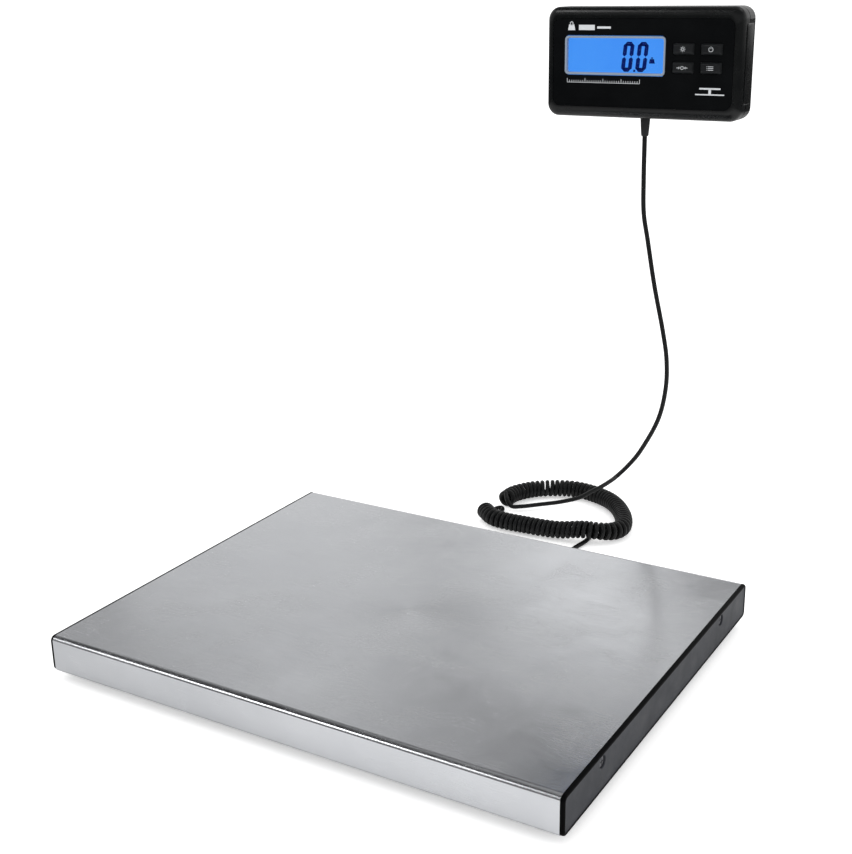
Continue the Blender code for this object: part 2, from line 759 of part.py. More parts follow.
def stepped_cavity(near_face, past_edge, beyond):
    """A hollow that is narrower behind the face's rounded edge, so that the wall stays thick."""
    narrow = FRONT_EDGE * 0.5
    size = (HEAD_WIDTH - 2 * HEAD_WALL - 2 * narrow, HEAD_HEIGHT - 2 * HEAD_WALL - 2 * narrow)
    first = plate(size, HEAD_CORNER - HEAD_WALL - narrow, near_face, beyond)
    return join(first, cavity(past_edge, beyond))


def boot_hole():
    bottom = -HEAD_HEIGHT / 2
    return rod(BOOT_NECK_RADIUS + GAP, bottom - 0.002, bottom + 0.004, "Z", (0.0, 0.0), 20)


def screw_places():
    return [(x * SHELL_SCREW[0], z * SHELL_SCREW[1]) for x in (-1, 1) for z in (-1, 1)]


def key_places():
    return {
        "key_light": (KEY_COLUMNS[0], KEY_ROWS[0]),
        "key_on_off": (KEY_COLUMNS[1], KEY_ROWS[0]),
        "key_tare": (KEY_COLUMNS[0], KEY_ROWS[1]),
        "key_mode": (KEY_COLUMNS[1], KEY_ROWS[1]),
    }


def face_openings(front, back):
    """Cutters for the display window and the four keys."""
    room = 2 * GAP
    size = (FRAME_SIZE[0] + room, FRAME_SIZE[1] + room)
    tools = [plate(size, FRAME_CORNER + GAP, front, back, WINDOW_CENTRE)]
    for place in key_places().values():
        tools.append(plate((KEY_SIZE[0] + room, KEY_SIZE[1] + room), 0.0012, front, back, place, 2))
    return tools


def front_shell_mesh():
    """Front half: rounded edge, recess for the label panel, openings and four screw bosses."""
    parting = HEAD_DEPTH / 2 - GAP / 2
    shell = shell_block(0.0, parting, 0.0, FRONT_EDGE)
    shell = cut(shell, stepped_cavity(FACE_BACK, FRONT_EDGE * 0.7, parting + 0.002))
    bosses = [
        rod(BOSS_RADIUS, from_face(FACE_BACK - 0.0008), from_face(parting), "Y", place, 16)
        for place in screw_places()
    ]
    shell = join(shell, *bosses)
    pilot_start = from_face(SCREW_TIP - 0.0008)
    pilot_end = from_face(parting + 0.001)
    pilots = [
        rod(SCREW_RADIUS + GAP, pilot_start, pilot_end, "Y", place, 12) for place in screw_places()
    ]
    recess_size = (LABEL_SIZE[0] + 2 * GAP, LABEL_SIZE[1] + 2 * GAP)
    recess = plate(recess_size, LABEL_CORNER + GAP, -0.002, LABEL_RECESS)
    return smooth(cut(shell, recess, boot_hole(), *pilots, *face_openings(-0.002, 0.0045)))


def label_panel_mesh():
    panel = plate(LABEL_SIZE, LABEL_CORNER, 0.0, LABEL_THICKNESS)
    return cut(panel, *face_openings(-0.002, 0.002))


def keyhole_tools():
    """Hanging holes in the rear wall: a round entry with a narrow slot above it."""
    front, back = from_face(HEAD_DEPTH - 0.004), from_face(HEAD_DEPTH + 0.002)
    tools = []
    for x in (-KEYHOLE_X, KEYHOLE_X):
        width, height = KEYHOLE_SLOT
        entry = rod(KEYHOLE_RADIUS, front, back, "Y", (x, KEYHOLE_Z), 16)
        slot = block((x - width / 2, front, KEYHOLE_Z), (x + width / 2, back, KEYHOLE_Z + height))
        tools.append(join(entry, slot))
    return tools


def rear_shell_mesh():
    """Rear half: battery bay, four deep screw posts, hanging holes and the socket's hole."""
    parting = HEAD_DEPTH / 2 + GAP / 2
    shell = shell_block(parting, HEAD_DEPTH, HEAD_DEPTH, REAR_EDGE)
    shell = cut(shell, cavity(parting - 0.002, HEAD_DEPTH - HEAD_WALL))
    bay_outer = (BAY_SIZE[0] + 2 * BAY_WALL, BAY_SIZE[1] + 2 * BAY_WALL)
    bay = plate(bay_outer, 0.002, BAY_FLOOR - BAY_WALL, HEAD_DEPTH - 0.001, BAY_CENTRE, 2)
    posts = [
        rod(BOSS_RADIUS + 0.0008, from_face(parting), from_face(HEAD_DEPTH - 0.001), "Y", place, 20)
        for place in screw_places()
    ]
    shell = join(shell, bay, *posts)
    hollow = plate(BAY_SIZE, 0.001, BAY_FLOOR, HEAD_DEPTH + 0.002, BAY_CENTRE, 2)
    door_room = (DOOR_SIZE[0] + 2 * GAP, DOOR_SIZE[1] + 2 * GAP)
    door_front = HEAD_DEPTH - DOOR_THICKNESS - GAP
    seat = plate(door_room, 0.0004, door_front, HEAD_DEPTH + 0.002, BAY_CENTRE, 2)
    tools = [seat, hollow, boot_hole(), *keyhole_tools()]
    screw_seat = from_face(SCREW_SEAT - GAP)
    outside = from_face(HEAD_DEPTH + 0.002)
    for place in screw_places():
        tools.append(rod(SCREW_RADIUS + GAP, 0.0, from_face(HEAD_DEPTH), "Y", place, 12))
        tools.append(rod(SCREW_HEAD_RADIUS + GAP, screw_seat, outside, "Y", place, 16))
    inside = from_face(HEAD_DEPTH - HEAD_WALL * 2)
    tools.append(rod(SOCKET_RADIUS + GAP, inside, outside, "Y", SOCKET, 20))
    return smooth(cut(shell, *tools))


def lcd_frame_mesh():
    inner = (FRAME_SIZE[0] - 2 * FRAME_BORDER[0], FRAME_SIZE[1] - 2 * FRAME_BORDER[1])
    outer = plate(FRAME_SIZE, FRAME_CORNER, 0.0, FRAME_DEPTH, WINDOW_CENTRE)
    opening = plate(inner, FRAME_CORNER / 2, -0.002, FRAME_DEPTH + 0.002, WINDOW_CENTRE)
    return cut(outer, opening)


def lcd_window_mesh():
    size = [full - 2 * (border + GAP) for full, border in zip(FRAME_SIZE, FRAME_BORDER)]
    return plate(size, FRAME_CORNER / 2 - GAP, WINDOW_FRONT, WINDOW_BACK, WINDOW_CENTRE)


def lcd_panel_mesh():
    return plate(PANEL_SIZE, 0.0005, PANEL_FRONT, PANEL_BACK, WINDOW_CENTRE, 1)


def backlight_mesh():
    return plate(PANEL_SIZE, 0.0005, PANEL_BACK + GAP, LIGHT_BACK, WINDOW_CENTRE, 1)


def key_mesh():
    """Key cap about its own centre: sloping sides, a flat top and a flange inside the shell."""
    hole_side = from_face(LABEL_THICKNESS)
    bm = bmesh.new()
    for size, depth in ((KEY_TOP_SIZE, -KEY_PROUD), (KEY_SIZE, LABEL_THICKNESS)):
        for a, b in rounded_rectangle(size[0], size[1], 0.0009, steps=2):
            bm.verts.new((a, from_face(depth), b))
    bmesh.ops.convex_hull(bm, input=bm.verts)
    cap = finish_mesh(bm)
    stem = plate(KEY_SIZE, 0.0009, LABEL_THICKNESS - 0.0004, KEY_BACK - 0.0002, steps=2)
    flange_size = (KEY_SIZE[0] + 2 * KEY_FLANGE_EXTRA, KEY_SIZE[1] + 2 * KEY_FLANGE_EXTRA)
    flange = plate(flange_size, 0.0012, FACE_BACK + GAP, KEY_BACK, steps=2)
    mesh = join(cap, stem, flange)
    for vert in mesh.vertices:
        vert.co.y -= hole_side
    return smooth(mesh)


def key_mat_mesh():
    """Rubber sheet with a raised dome behind each key."""
    middle = (sum(KEY_COLUMNS) / 2, sum(KEY_ROWS) / 2)
    sheet = plate(MAT_SIZE, 0.001, MAT_FRONT, LIGHT_BACK, middle, 1)
    domes = [
        plate(DOME_SIZE, 0.001, DOME_FRONT, MAT_FRONT + BEDDING, place, 2)
        for place in key_places().values()
    ]
    return join(sheet, *domes)


def main_board_mesh():
    """Bare board with a chip, an upright connector and a round capacitor on its rear."""
    board = plate(MAIN_BOARD_SIZE, 0.001, MAIN_BOARD_FRONT, MAIN_BOARD_BACK, (0.0, 0.002), 1)
    rear = MAIN_BOARD_BACK
    seat = rear - BEDDING
    chip = plate((0.010, 0.010), 0.0005, seat, rear + 0.0016, (0.044, 0.012), 1)
    connector = plate((0.006, 0.012), 0.0005, seat, rear + 0.0035, (0.040, -0.014), 1)
    capacitor = rod(0.004, from_face(seat), from_face(rear + 0.008), "Y", (-0.046, 0.010), 16)
    return join(board, chip, connector, capacitor)


def shell_screw_mesh():
    """Screw along Y with its head towards the rear, about its own seat."""
    length = SCREW_SEAT - SCREW_TIP
    head = SCREW_HEAD_RADIUS
    head_height = 0.0020
    profile = [
        (0.0, -length), (SCREW_RADIUS * 0.6, -length), (SCREW_RADIUS, -length + SCREW_RADIUS),
        (SCREW_RADIUS, 0.0), (head, 0.0), (head, head_height * 0.6), (head * 0.6, head_height),
        (0.0, head_height),
    ]
    mesh = revolved(profile, "Y", 12)
    low, high = head_height / 2, head_height * 1.4
    arm = head * 0.57
    half = DRIVE_WIDTH * 0.75
    slot = block((-half, low, -arm), (half, high, arm))
    cross = block((-arm, low, -half), (arm, high, half))
    return smooth(cut(mesh, join(slot, cross)))


def battery_mesh():
    """Small round cell along X with its raised contact."""
    half = BATTERY_LENGTH / 2
    edge = 0.0003
    shoulder = half - 0.0008
    nub = 0.0019
    profile = [
        (0.0, -half), (BATTERY_RADIUS - edge, -half), (BATTERY_RADIUS, -half + edge),
        (BATTERY_RADIUS, shoulder - edge), (BATTERY_RADIUS - edge, shoulder), (nub, shoulder),
        (nub, half), (0.0, half),
    ]
    return revolved(profile, "X", 12)


def battery_contact_mesh(side):
    """Plated strip at one end of the bay, with a raised pad for each cell."""
    strip_x = side * (BAY_SIZE[0] / 2 - GAP)
    inner_x = strip_x - side * CONTACT_THICKNESS
    pad_x = side * (BATTERY_LENGTH / 2 + GAP)
    low, high = sorted((strip_x, inner_x))
    half_y = CONTACT_WIDTH / 2
    half_z = BATTERY_PITCH + half_y
    strip = block((low, -half_y, -half_z), (high, half_y, half_z))
    near, far = sorted((pad_x, (inner_x + strip_x) / 2))
    half_pad = CONTACT_PAD / 2
    pads = []
    for row in (-1, 0, 1):
        z = row * BATTERY_PITCH
        pads.append(block((near, -half_pad, z - half_pad), (far, half_pad, z + half_pad)))
    return join(strip, *pads)


def battery_door_mesh():
    """Door about its hinge line, the middle of its rounded lower edge, with finger grooves."""
    half = DOOR_THICKNESS / 2
    top = DOOR_SIZE[1] - half
    outline = arc((0.0, 0.0), half, math.radians(180), math.radians(360), 8)
    outline += [(half, top), (-half, top)]
    door = prism(outline, "X", -DOOR_SIZE[0] / 2, DOOR_SIZE[0] / 2)
    width, height, depth = GRIP_SIZE
    grip = []
    for row in range(3):
        z = top - 0.004 - row * GRIP_PITCH
        grip.append(block((-width / 2, half - depth, z - height), (width / 2, half + depth, z)))
    return smooth(cut(door, *grip))


def power_socket_mesh():
    """Square body on the board, with a round nose, a bore and a centre pin."""
    start = from_face(MAIN_BOARD_BACK + GAP)
    shoulder = from_face(HEAD_DEPTH - HEAD_WALL - GAP)
    nose = from_face(HEAD_DEPTH - GAP)
    half_x, half_z = SOCKET_BODY[0] / 2, SOCKET_BODY[1] / 2
    body = block((-half_x, start, -half_z), (half_x, shoulder, half_z))
    barrel = rod(SOCKET_RADIUS, shoulder - BEDDING, nose, "Y", sides=20)
    bore = rod(SOCKET_BORE_RADIUS, nose - SOCKET_DEPTH, nose + 0.001, "Y", sides=20)
    pin = rod(SOCKET_PIN_RADIUS, nose - SOCKET_DEPTH - BEDDING, nose - 0.001, "Y", sides=12)
    return smooth(join(cut(join(body, barrel), bore), pin))


def cord_boot_mesh():
    """Strain relief about the head's lower edge: flange inside, neck in the wall, taper below."""
    bore = CORD_RADIUS + 1.5 * GAP
    wall_top = HEAD_WALL + GAP
    tip = BOOT_TIP_RADIUS
    profile = [(bore, -BOOT_LENGTH), (tip - BOOT_TIP_EDGE, -BOOT_LENGTH)]
    profile += [(tip, BOOT_TIP_EDGE - BOOT_LENGTH), (BOOT_TOP_RADIUS, -0.002)]
    profile += [(BOOT_TOP_RADIUS, -GAP), (BOOT_NECK_RADIUS, -GAP)]
    profile += [(BOOT_NECK_RADIUS, wall_top), (BOOT_FLANGE_RADIUS, wall_top)]
    profile += [(BOOT_FLANGE_RADIUS, wall_top + BOOT_FLANGE), (bore, wall_top + BOOT_FLANGE)]
    return revolved(profile, "Z", 14, ring=True)


# ---------------------------------------------------------------- assembly

def build_platform(platform, mats):
    add("platter_cover", platter_cover_mesh(), mats["steel"], parent=platform)
    add("base_pan", base_pan_mesh(), mats["dark_steel"], parent=platform)
    for side, hand in ((-1, "left"), (1, "right")):
        add(f"end_cap_{hand}", end_cap_mesh(side), mats["black_plastic"], parent=platform)
        for row, end in ((-1, "front"), (1, "rear")):
            seat = side * (WIDTH / 2 - CAP_SEAT_DEPTH + GAP)
            place = (seat, row * CAP_SCREW_Y, CAP_SCREW_Z)
            add(f"cap_screw_{hand}_{end}", cap_screw_mesh(side), mats["black_screw"], place, platform)
    for row, end in ((-1, "front"), (1, "rear")):
        add(f"cell_rail_{end}", drilled_rail_mesh(row), mats["zinc"], (0.0, row * CELL_Y, 0.0), platform)
    for row, end in ((-1, "front"), (1, "rear")):
        for side, hand in ((-1, "left"), (1, "right")):
            corner = f"{end}_{hand}"
            place = (side * CELL_X, row * CELL_Y, 0.0)
            add(f"load_cell_{corner}", load_cell_mesh(), mats["cell_steel"], place, platform)
            foot = make_empty(f"foot_axis_{corner}", place, platform)
            add(f"foot_{corner}", foot_mesh(), mats["black_plastic"], parent=foot)
            add(f"foot_pad_{corner}", foot_pad_mesh(), mats["rubber"], parent=foot)
            add(f"cell_wire_{corner}", cell_wire(side, row), mats["wire"], parent=platform)
    add("junction_board", junction_board_mesh(), mats["board"], (*BOARD_CENTRE, 0.0), platform)
    add("cord_gland", cord_gland_mesh(), mats["rubber"], (GLAND_X, DEPTH / 2, GLAND_Z), platform)


def build_cord(platform, mats):
    cord = platform_lead_points() + coil_points() + loop_points()
    add("coiled_cord", round_cord(cord, CORD_RADIUS, resolution=0), mats["cord"], parent=platform)
    add("display_lead", round_cord(display_lead_points(), CORD_RADIUS), mats["cord"], parent=platform)


def build_head(head, mats):
    add("front_shell", front_shell_mesh(), mats["black_gloss"], parent=head)
    add("rear_shell", rear_shell_mesh(), mats["black_plastic"], parent=head)
    add("label_panel", label_panel_mesh(), mats["label"], parent=head)
    add("lcd_frame", lcd_frame_mesh(), mats["silver"], parent=head)
    add("lcd_window", lcd_window_mesh(), mats["clear"], parent=head)
    add("lcd_panel", lcd_panel_mesh(), mats["lcd"], parent=head)
    add("backlight", backlight_mesh(), mats["light_guide"], parent=head)
    add("main_board", main_board_mesh(), mats["board"], parent=head)
    add("key_mat", key_mat_mesh(), mats["rubber"], parent=head)
    for name, (x, z) in key_places().items():
        add(name, key_mesh(), mats["key"], (x, from_face(LABEL_THICKNESS), z), head)
    names = ("left_lower", "left_upper", "right_lower", "right_upper")
    for name, (x, z) in zip(names, screw_places()):
        place = (x, from_face(SCREW_SEAT), z)
        add(f"shell_screw_{name}", shell_screw_mesh(), mats["black_screw"], place, head)
    cells_y = from_face(BAY_FLOOR + GAP + BATTERY_RADIUS)
    bay_x, bay_z = BAY_CENTRE
    for row, name in ((-1, "lower"), (0, "middle"), (1, "upper")):
        place = (bay_x, cells_y, bay_z + row * BATTERY_PITCH)
        add(f"battery_{name}", battery_mesh(), mats["battery"], place, head)
    middle = (bay_x, cells_y, bay_z)
    for side, hand in ((-1, "left"), (1, "right")):
        add(f"battery_contact_{hand}", battery_contact_mesh(side), mats["zinc"], middle, head)
    hinge_y = from_face(HEAD_DEPTH - DOOR_THICKNESS / 2)
    hinge_z = bay_z - DOOR_SIZE[1] / 2 + DOOR_THICKNESS / 2
    add("battery_door", battery_door_mesh(), mats["black_plastic"], (bay_x, hinge_y, hinge_z), head)
    add("power_socket", power_socket_mesh(), mats["black_plastic"], (SOCKET[0], 0.0, SOCKET[1]), head)
    add("cord_boot", cord_boot_mesh(), mats["rubber"], (0.0, 0.0, -HEAD_HEIGHT / 2), head)


def make_materials():
    return {
        "steel": make_material("brushed_stainless", (0.50, 0.50, 0.51), 0.32, 1.0),
        "dark_steel": make_material("painted_pan", (0.03, 0.03, 0.032), 0.5, 0.0),
        "zinc": make_material("zinc_plate", (0.55, 0.56, 0.58), 0.38, 1.0),
        "cell_steel": make_material("cell_steel", (0.42, 0.43, 0.45), 0.35, 1.0),
        "black_plastic": make_material("black_plastic", (0.020, 0.021, 0.024), 0.45),
        "black_gloss": make_material("black_gloss_plastic", (0.008, 0.008, 0.010), 0.25),
        "label": make_material("label_panel", (0.010, 0.010, 0.012), 0.40),
        "key": make_material("key_plastic", (0.030, 0.031, 0.035), 0.40),
        "rubber": make_material("black_rubber", (0.015, 0.015, 0.016), 0.65),
        "cord": make_material("cord_jacket", (0.012, 0.012, 0.013), 0.42),
        "wire": make_material("wire_sleeve", (0.25, 0.25, 0.26), 0.5),
        "board": make_material("circuit_board", (0.015, 0.12, 0.05), 0.4),
        "silver": make_material("lcd_frame", (0.78, 0.80, 0.84), 0.35),
        "clear": make_material("clear_window", (0.75, 0.85, 0.95), 0.05),
        "lcd": make_material("lcd_glass", (0.07, 0.27, 0.90), 0.25),
        "light_guide": make_material("light_guide", (0.45, 0.65, 1.0), 0.4),
        "battery": make_material("battery_sleeve", (0.08, 0.10, 0.14), 0.35, 0.3),
        "black_screw": make_material("blackened_screw", (0.06, 0.06, 0.065), 0.35, 0.8),
    }


def build():
    clear_scene()
    mats = make_materials()
    platform = make_empty("platform", (0.0, PLATFORM_Y, 0.0))
    head = make_empty("display_head", HEAD, platform)
    build_platform(platform, mats)
    build_cord(platform, mats)
    build_head(head, mats)


build()
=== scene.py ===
"""Looks of the platform shipping scale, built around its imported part.

Metres, +Z up, in the part's own frame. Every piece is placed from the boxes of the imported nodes.
"""
import json
import math

import bmesh
import bpy
from mathutils import Matrix, Vector


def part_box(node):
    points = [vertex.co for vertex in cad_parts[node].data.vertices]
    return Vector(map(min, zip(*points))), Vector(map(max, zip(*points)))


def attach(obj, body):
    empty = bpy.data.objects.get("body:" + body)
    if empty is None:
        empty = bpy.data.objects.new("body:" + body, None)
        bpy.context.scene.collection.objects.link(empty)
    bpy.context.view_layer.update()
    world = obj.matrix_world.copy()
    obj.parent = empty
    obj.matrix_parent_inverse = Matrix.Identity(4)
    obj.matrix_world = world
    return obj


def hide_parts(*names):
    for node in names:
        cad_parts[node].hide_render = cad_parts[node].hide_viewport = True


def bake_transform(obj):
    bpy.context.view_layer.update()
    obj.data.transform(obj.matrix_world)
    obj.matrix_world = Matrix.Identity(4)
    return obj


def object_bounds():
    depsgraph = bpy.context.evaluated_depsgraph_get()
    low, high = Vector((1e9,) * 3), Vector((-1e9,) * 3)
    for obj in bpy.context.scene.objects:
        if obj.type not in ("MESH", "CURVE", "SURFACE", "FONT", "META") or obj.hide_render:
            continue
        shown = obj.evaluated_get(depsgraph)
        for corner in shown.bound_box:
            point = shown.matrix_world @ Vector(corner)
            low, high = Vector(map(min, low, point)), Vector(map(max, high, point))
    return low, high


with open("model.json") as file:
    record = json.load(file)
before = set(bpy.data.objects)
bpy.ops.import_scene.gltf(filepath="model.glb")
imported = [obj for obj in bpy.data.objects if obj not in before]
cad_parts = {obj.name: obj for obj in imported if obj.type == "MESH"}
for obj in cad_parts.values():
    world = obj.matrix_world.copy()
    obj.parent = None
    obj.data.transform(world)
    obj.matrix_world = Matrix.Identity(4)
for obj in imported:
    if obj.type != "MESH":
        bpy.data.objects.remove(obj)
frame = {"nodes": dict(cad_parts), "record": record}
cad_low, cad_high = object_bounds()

# ---------------- sizes

GAP = 0.0003                    # clearance between pieces
HAIR = 0.00004                  # height of a printed mark above its surface
BORE = 0.0002                   # smallest radius of a turned profile, where its axis closes

SHEET = 0.0012                  # stainless cover
BEND_RADIUS = 0.0030
BEND_LENGTH = 0.0052            # the upper bends run out gently into the top
COVER_OVERHANG = 0.0016         # how far the cover reaches over each packed cap
RETURN_FLANGE = 0.008
COVER_STEPS = 24                # strips across the platter

FOOT_FLANGE = 0.004             # how far the foot's flange reaches past its side

CAP_RIM = 0.0021
CAP_RIM_RADIUS = 0.0016
CAP_FACE_RECESS = 0.0006
CAP_CORNER = 0.0040
CAP_SEAT_DEPTH = 0.0031
CAP_RECESS_RADIUS = 0.0040
FACE, RIM = 0, 1                # material slots of an end cap
CAP_LOOKS = ("cap_plastic", "cap_rim")

CORD_RADIUS = 0.00185
CORD_SIDES = 12
INNER_CORD_Z = 0.0135           # between the pan and the rear rail
COIL_RADIUS = 0.00570           # from the coil's axis to the middle of the cord
COIL_TIGHT = 0.0038
COIL_OPEN_RUNS = (              # shares of the coil's length that stand apart, and the pitch
    (0.16, 0.31, 0.0044),
    (0.70, 1.05, 0.0039),
)
COIL_STEPS = 26
BEND_SPAN = 9                   # steps of the axis either side over which its curve is averaged
COIL_RUN = (                    # the coil's axis from above, measured from the platform's middle
    (-0.0688, 0.2368), (-0.0510, 0.2245), (-0.0210, 0.2242), (0.0110, 0.2272), (0.0365, 0.2325),
    (0.0505, 0.2535), (0.0400, 0.2830), (0.0155, 0.3090), (-0.0200, 0.3185), (-0.0490, 0.3050),
    (-0.0630, 0.2850), (-0.0645, 0.2680),
)
CROSSING = (0.0305, 0.2305)     # where the platform lead passes under the coil
CROSSING_LIFT = 0.0042
CROSSING_SPREAD = 0.017
LEAD_FOOT = (0.0372, 0.2778, 0.0458)    # where the straight lead to the display begins

HEAD_CORNER = 0.009
FRONT_EDGE = 0.0062
FRONT_EDGE_TALL = 1.32          # the rounding is taller above and below the face than beside it
HEAD_WALL = 0.0022
HEAD_CUT = 0.002                # how far a cutter reaches past the surface it opens
PARTING_GROOVE = 0.0004
LABEL_CORNER = 0.006
SIDE_GRIP_SIZE = (0.0150, 0.0570)
SEGMENT_THICKNESS = 0.00008
SEGMENT_WIDTH = 0.0031
MARK_LINE = 0.00035             # stroke of the signs on the keys
KEYS = ("key_light", "key_on_off", "key_tare", "key_mode")
KEY_FLANGE = 0.0010


# ---------------- the frame

BOXES = {}


def box(node):
    """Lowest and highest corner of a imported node."""
    if node not in BOXES:
        BOXES[node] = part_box(node)
    return BOXES[node]


def middle(node):
    low, high = box(node)
    return (low + high) / 2


def size_of(node):
    low, high = box(node)
    return high - low


def front_centre(node):
    """Middle (x, z) of a node as it is seen from the front."""
    centre = middle(node)
    return centre.x, centre.z


def outer_face(node, side):
    """The x of a node's face on the left (-1) or on the right (1)."""
    low, high = box(node)
    return high.x if side > 0 else low.x


def from_platform(x, y, z=0.0):
    """A point measured from the middle of the platform on the floor."""
    centre = middle("platter_cover")
    return Vector((centre.x + x, centre.y + y, z))


# ---------------- shapes

def arc(centre, radius, start, end, steps):
    angles = [start + (end - start) * i / steps for i in range(steps + 1)]
    return [(centre[0] + radius * math.cos(t), centre[1] + radius * math.sin(t)) for t in angles]


def rounded_rectangle(width, height, radius, steps=8):
    """Outline about the origin, anticlockwise."""
    points = []
    for turn, (side_a, side_b) in enumerate(((1, 1), (-1, 1), (-1, -1), (1, -1))):
        corner = (side_a * (width / 2 - radius), side_b * (height / 2 - radius))
        start = turn * math.pi / 2
        points += arc(corner, radius, start, start + math.pi / 2, steps)
    return points


def loft(rings, materials=None, closed=True):
    """Skin a run of equal-length rings of points; close both ends with a face."""
    bm = bmesh.new()
    loops = [[bm.verts.new(point) for point in ring] for ring in rings]
    kinds = materials or [0] * (len(loops) - 1)
    for kind, lower, upper in zip(kinds, loops, loops[1:]):
        for i in range(len(lower)):
            after = (i + 1) % len(lower)
            bm.faces.new((lower[i], lower[after], upper[after], upper[i])).material_index = kind
    if closed:
        bm.faces.new(loops[0]).material_index = kinds[0]
        bm.faces.new(loops[-1]).material_index = kinds[-1]
    bmesh.ops.recalc_face_normals(bm, faces=bm.faces)
    return bm


def to_mesh(bm):
    mesh = bpy.data.meshes.new("mesh")
    bm.to_mesh(mesh)
    bm.free()
    return mesh


def box_mesh(low, high):
    bm = bmesh.new()
    bmesh.ops.create_cube(bm, size=1.0)
    for vert in bm.verts:
        share = vert.co + Vector((0.5, 0.5, 0.5))
        vert.co = [a + (b - a) * s for a, b, s in zip(low, high, share)]
    return to_mesh(bm)


def place_in_scene(name, data):
    shown = bpy.data.objects.new(name, data)
    bpy.context.collection.objects.link(shown)
    return shown


def cut(mesh, tools):
    """The mesh with the shape of each tool taken away."""
    body = place_in_scene("body", mesh)
    helpers = []
    for tool in tools:
        helper = place_in_scene("tool", tool)
        modifier = body.modifiers.new("cut", "BOOLEAN")
        modifier.operation = "DIFFERENCE"
        modifier.solver = "EXACT"
        modifier.object = helper
        helpers.append(helper)
    bpy.context.view_layer.update()
    evaluated = body.evaluated_get(bpy.context.evaluated_depsgraph_get())
    result = bpy.data.meshes.new_from_object(evaluated)
    for item in [body, *helpers]:
        bpy.data.objects.remove(item, do_unlink=True)
    return result


def piece(name, mesh, slot, body, replaces=(), looks=None, angle=32.0):
    """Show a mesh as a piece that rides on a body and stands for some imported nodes.

    It wears the look of its material slot unless other looks are given. Edges sharper than the angle,
    in degrees, stay crisp.
    """
    mesh.shade_smooth()
    mesh.set_sharp_from_angle(angle=math.radians(angle))
    shown = place_in_scene(name, mesh)
    kinds = [face.material_index for face in mesh.polygons]
    mesh.materials.clear()
    for worn in looks or [slot]:
        mesh.materials.append(look(worn))
    for face, kind in zip(mesh.polygons, kinds):
        face.material_index = kind
    if body:
        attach(shown, body)
    if replaces:
        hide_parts(*replaces)
    return shown


def facing_front(outline, centre, y):
    """A flat outline stood up to face the front, at a depth y."""
    return [(centre[0] + a, y, centre[1] + b) for a, b in outline]


def slab(outline, centre, front, back, edge=0.0):
    """A plate facing the front, with a small chamfer round its front edge."""
    rings = [facing_front(outline, centre, back), facing_front(outline, centre, front + edge)]
    if edge:
        inset = [shrink(point, outline, edge) for point in outline]
        rings.append(facing_front(inset, centre, front))
    return to_mesh(loft(rings))


def shrink(point, outline, amount):
    """Move a point of an outline about the origin inwards along both axes."""
    reach_a = max(abs(a) for a, _ in outline)
    reach_b = max(abs(b) for _, b in outline)
    return (point[0] * (1 - amount / reach_a), point[1] * (1 - amount / reach_b))


def tube(points, radius):
    """A round cord swept along the points without twist."""
    points = [Vector(p) for p in points]
    ahead = (points[1] - points[0]).normalized()
    side = ahead.orthogonal().normalized()
    rings = []
    for i, point in enumerate(points):
        before = points[max(i - 1, 0)]
        after = points[min(i + 1, len(points) - 1)]
        along = (after - before).normalized()
        side = (side - along * side.dot(along)).normalized()
        other = along.cross(side)
        rings.append([
            point + (side * math.cos(t) + other * math.sin(t)) * radius
            for t in (2 * math.pi * k / CORD_SIDES for k in range(CORD_SIDES))
        ])
    return to_mesh(loft(rings))


def through(stops, steps=10):
    """A smooth run of points through the stops (Catmull-Rom)."""
    stops = [Vector(stop) for stop in stops]
    padded = [stops[0] * 2 - stops[1], *stops, stops[-1] * 2 - stops[-2]]
    points = []
    for a, b, c, d in zip(padded, padded[1:], padded[2:], padded[3:]):
        for i in range(steps):
            t = i / steps
            bend = (2 * a - 5 * b + 4 * c - d) * t ** 2
            twist = (3 * b - a - 3 * c + d) * t ** 3
            points.append(0.5 * (2 * b + (c - a) * t + bend + twist))
    return points + [stops[-1]]


def revolved(profile, centre, axis="Z", sides=48):
    """Turn (radius, height) points about an axis through the centre."""
    rings = []
    for radius, height in profile:
        ring = []
        for k in range(sides):
            t = 2 * math.pi * k / sides
            a, b = radius * math.cos(t), radius * math.sin(t)
            offset = {"X": (height, a, b), "Y": (a, height, b), "Z": (a, b, height)}[axis]
            ring.append(Vector(centre) + Vector(offset))
        rings.append(ring)
    return to_mesh(loft(rings))


# ---------------- material nodes

class Nodes:
    """Short ways to build a tree of shader nodes."""

    def __init__(self, tree):
        self.tree = tree

    def feed(self, socket, value):
        """Link a pattern to a socket, or set the socket to a number, a colour or a vector."""
        if isinstance(value, bpy.types.NodeSocket):
            self.tree.links.new(value, socket)
        elif isinstance(value, (tuple, list)):
            socket.default_value = (*value[:3], 1.0)[:len(socket.default_value)]
        else:
            socket.default_value = value

    def add(self, kind, inputs=(), **settings):
        """A new node with its settings, and what is fed to its inputs."""
        node = self.tree.nodes.new(f"ShaderNode{kind}")
        for name, value in settings.items():
            setattr(node, name, value)
        for name, value in dict(inputs).items():
            self.feed(node.inputs[name], value)
        return node

    def part_of(self, vector, axis):
        return self.add("SeparateXYZ", {0: vector}).outputs[axis]

    def range(self, value, low, high, from_low=0.3, from_high=0.7, easing="LINEAR"):
        inputs = {"Value": value, "From Min": from_low, "From Max": from_high, "To Min": low, "To Max": high}
        return self.add("MapRange", inputs, interpolation_type=easing).outputs["Result"]

    def mix(self, fac, first, second, kind="RGBA"):
        """Blend two colours, or two numbers where the kind is FLOAT."""
        a, b, result = (6, 7, 2) if kind == "RGBA" else (2, 3, 0)
        return self.add("Mix", {0: fac, a: first, b: second}, data_type=kind).outputs[result]

    def maths(self, operation, first, second):
        return self.add("Math", {0: first, 1: second}, operation=operation).outputs[0]


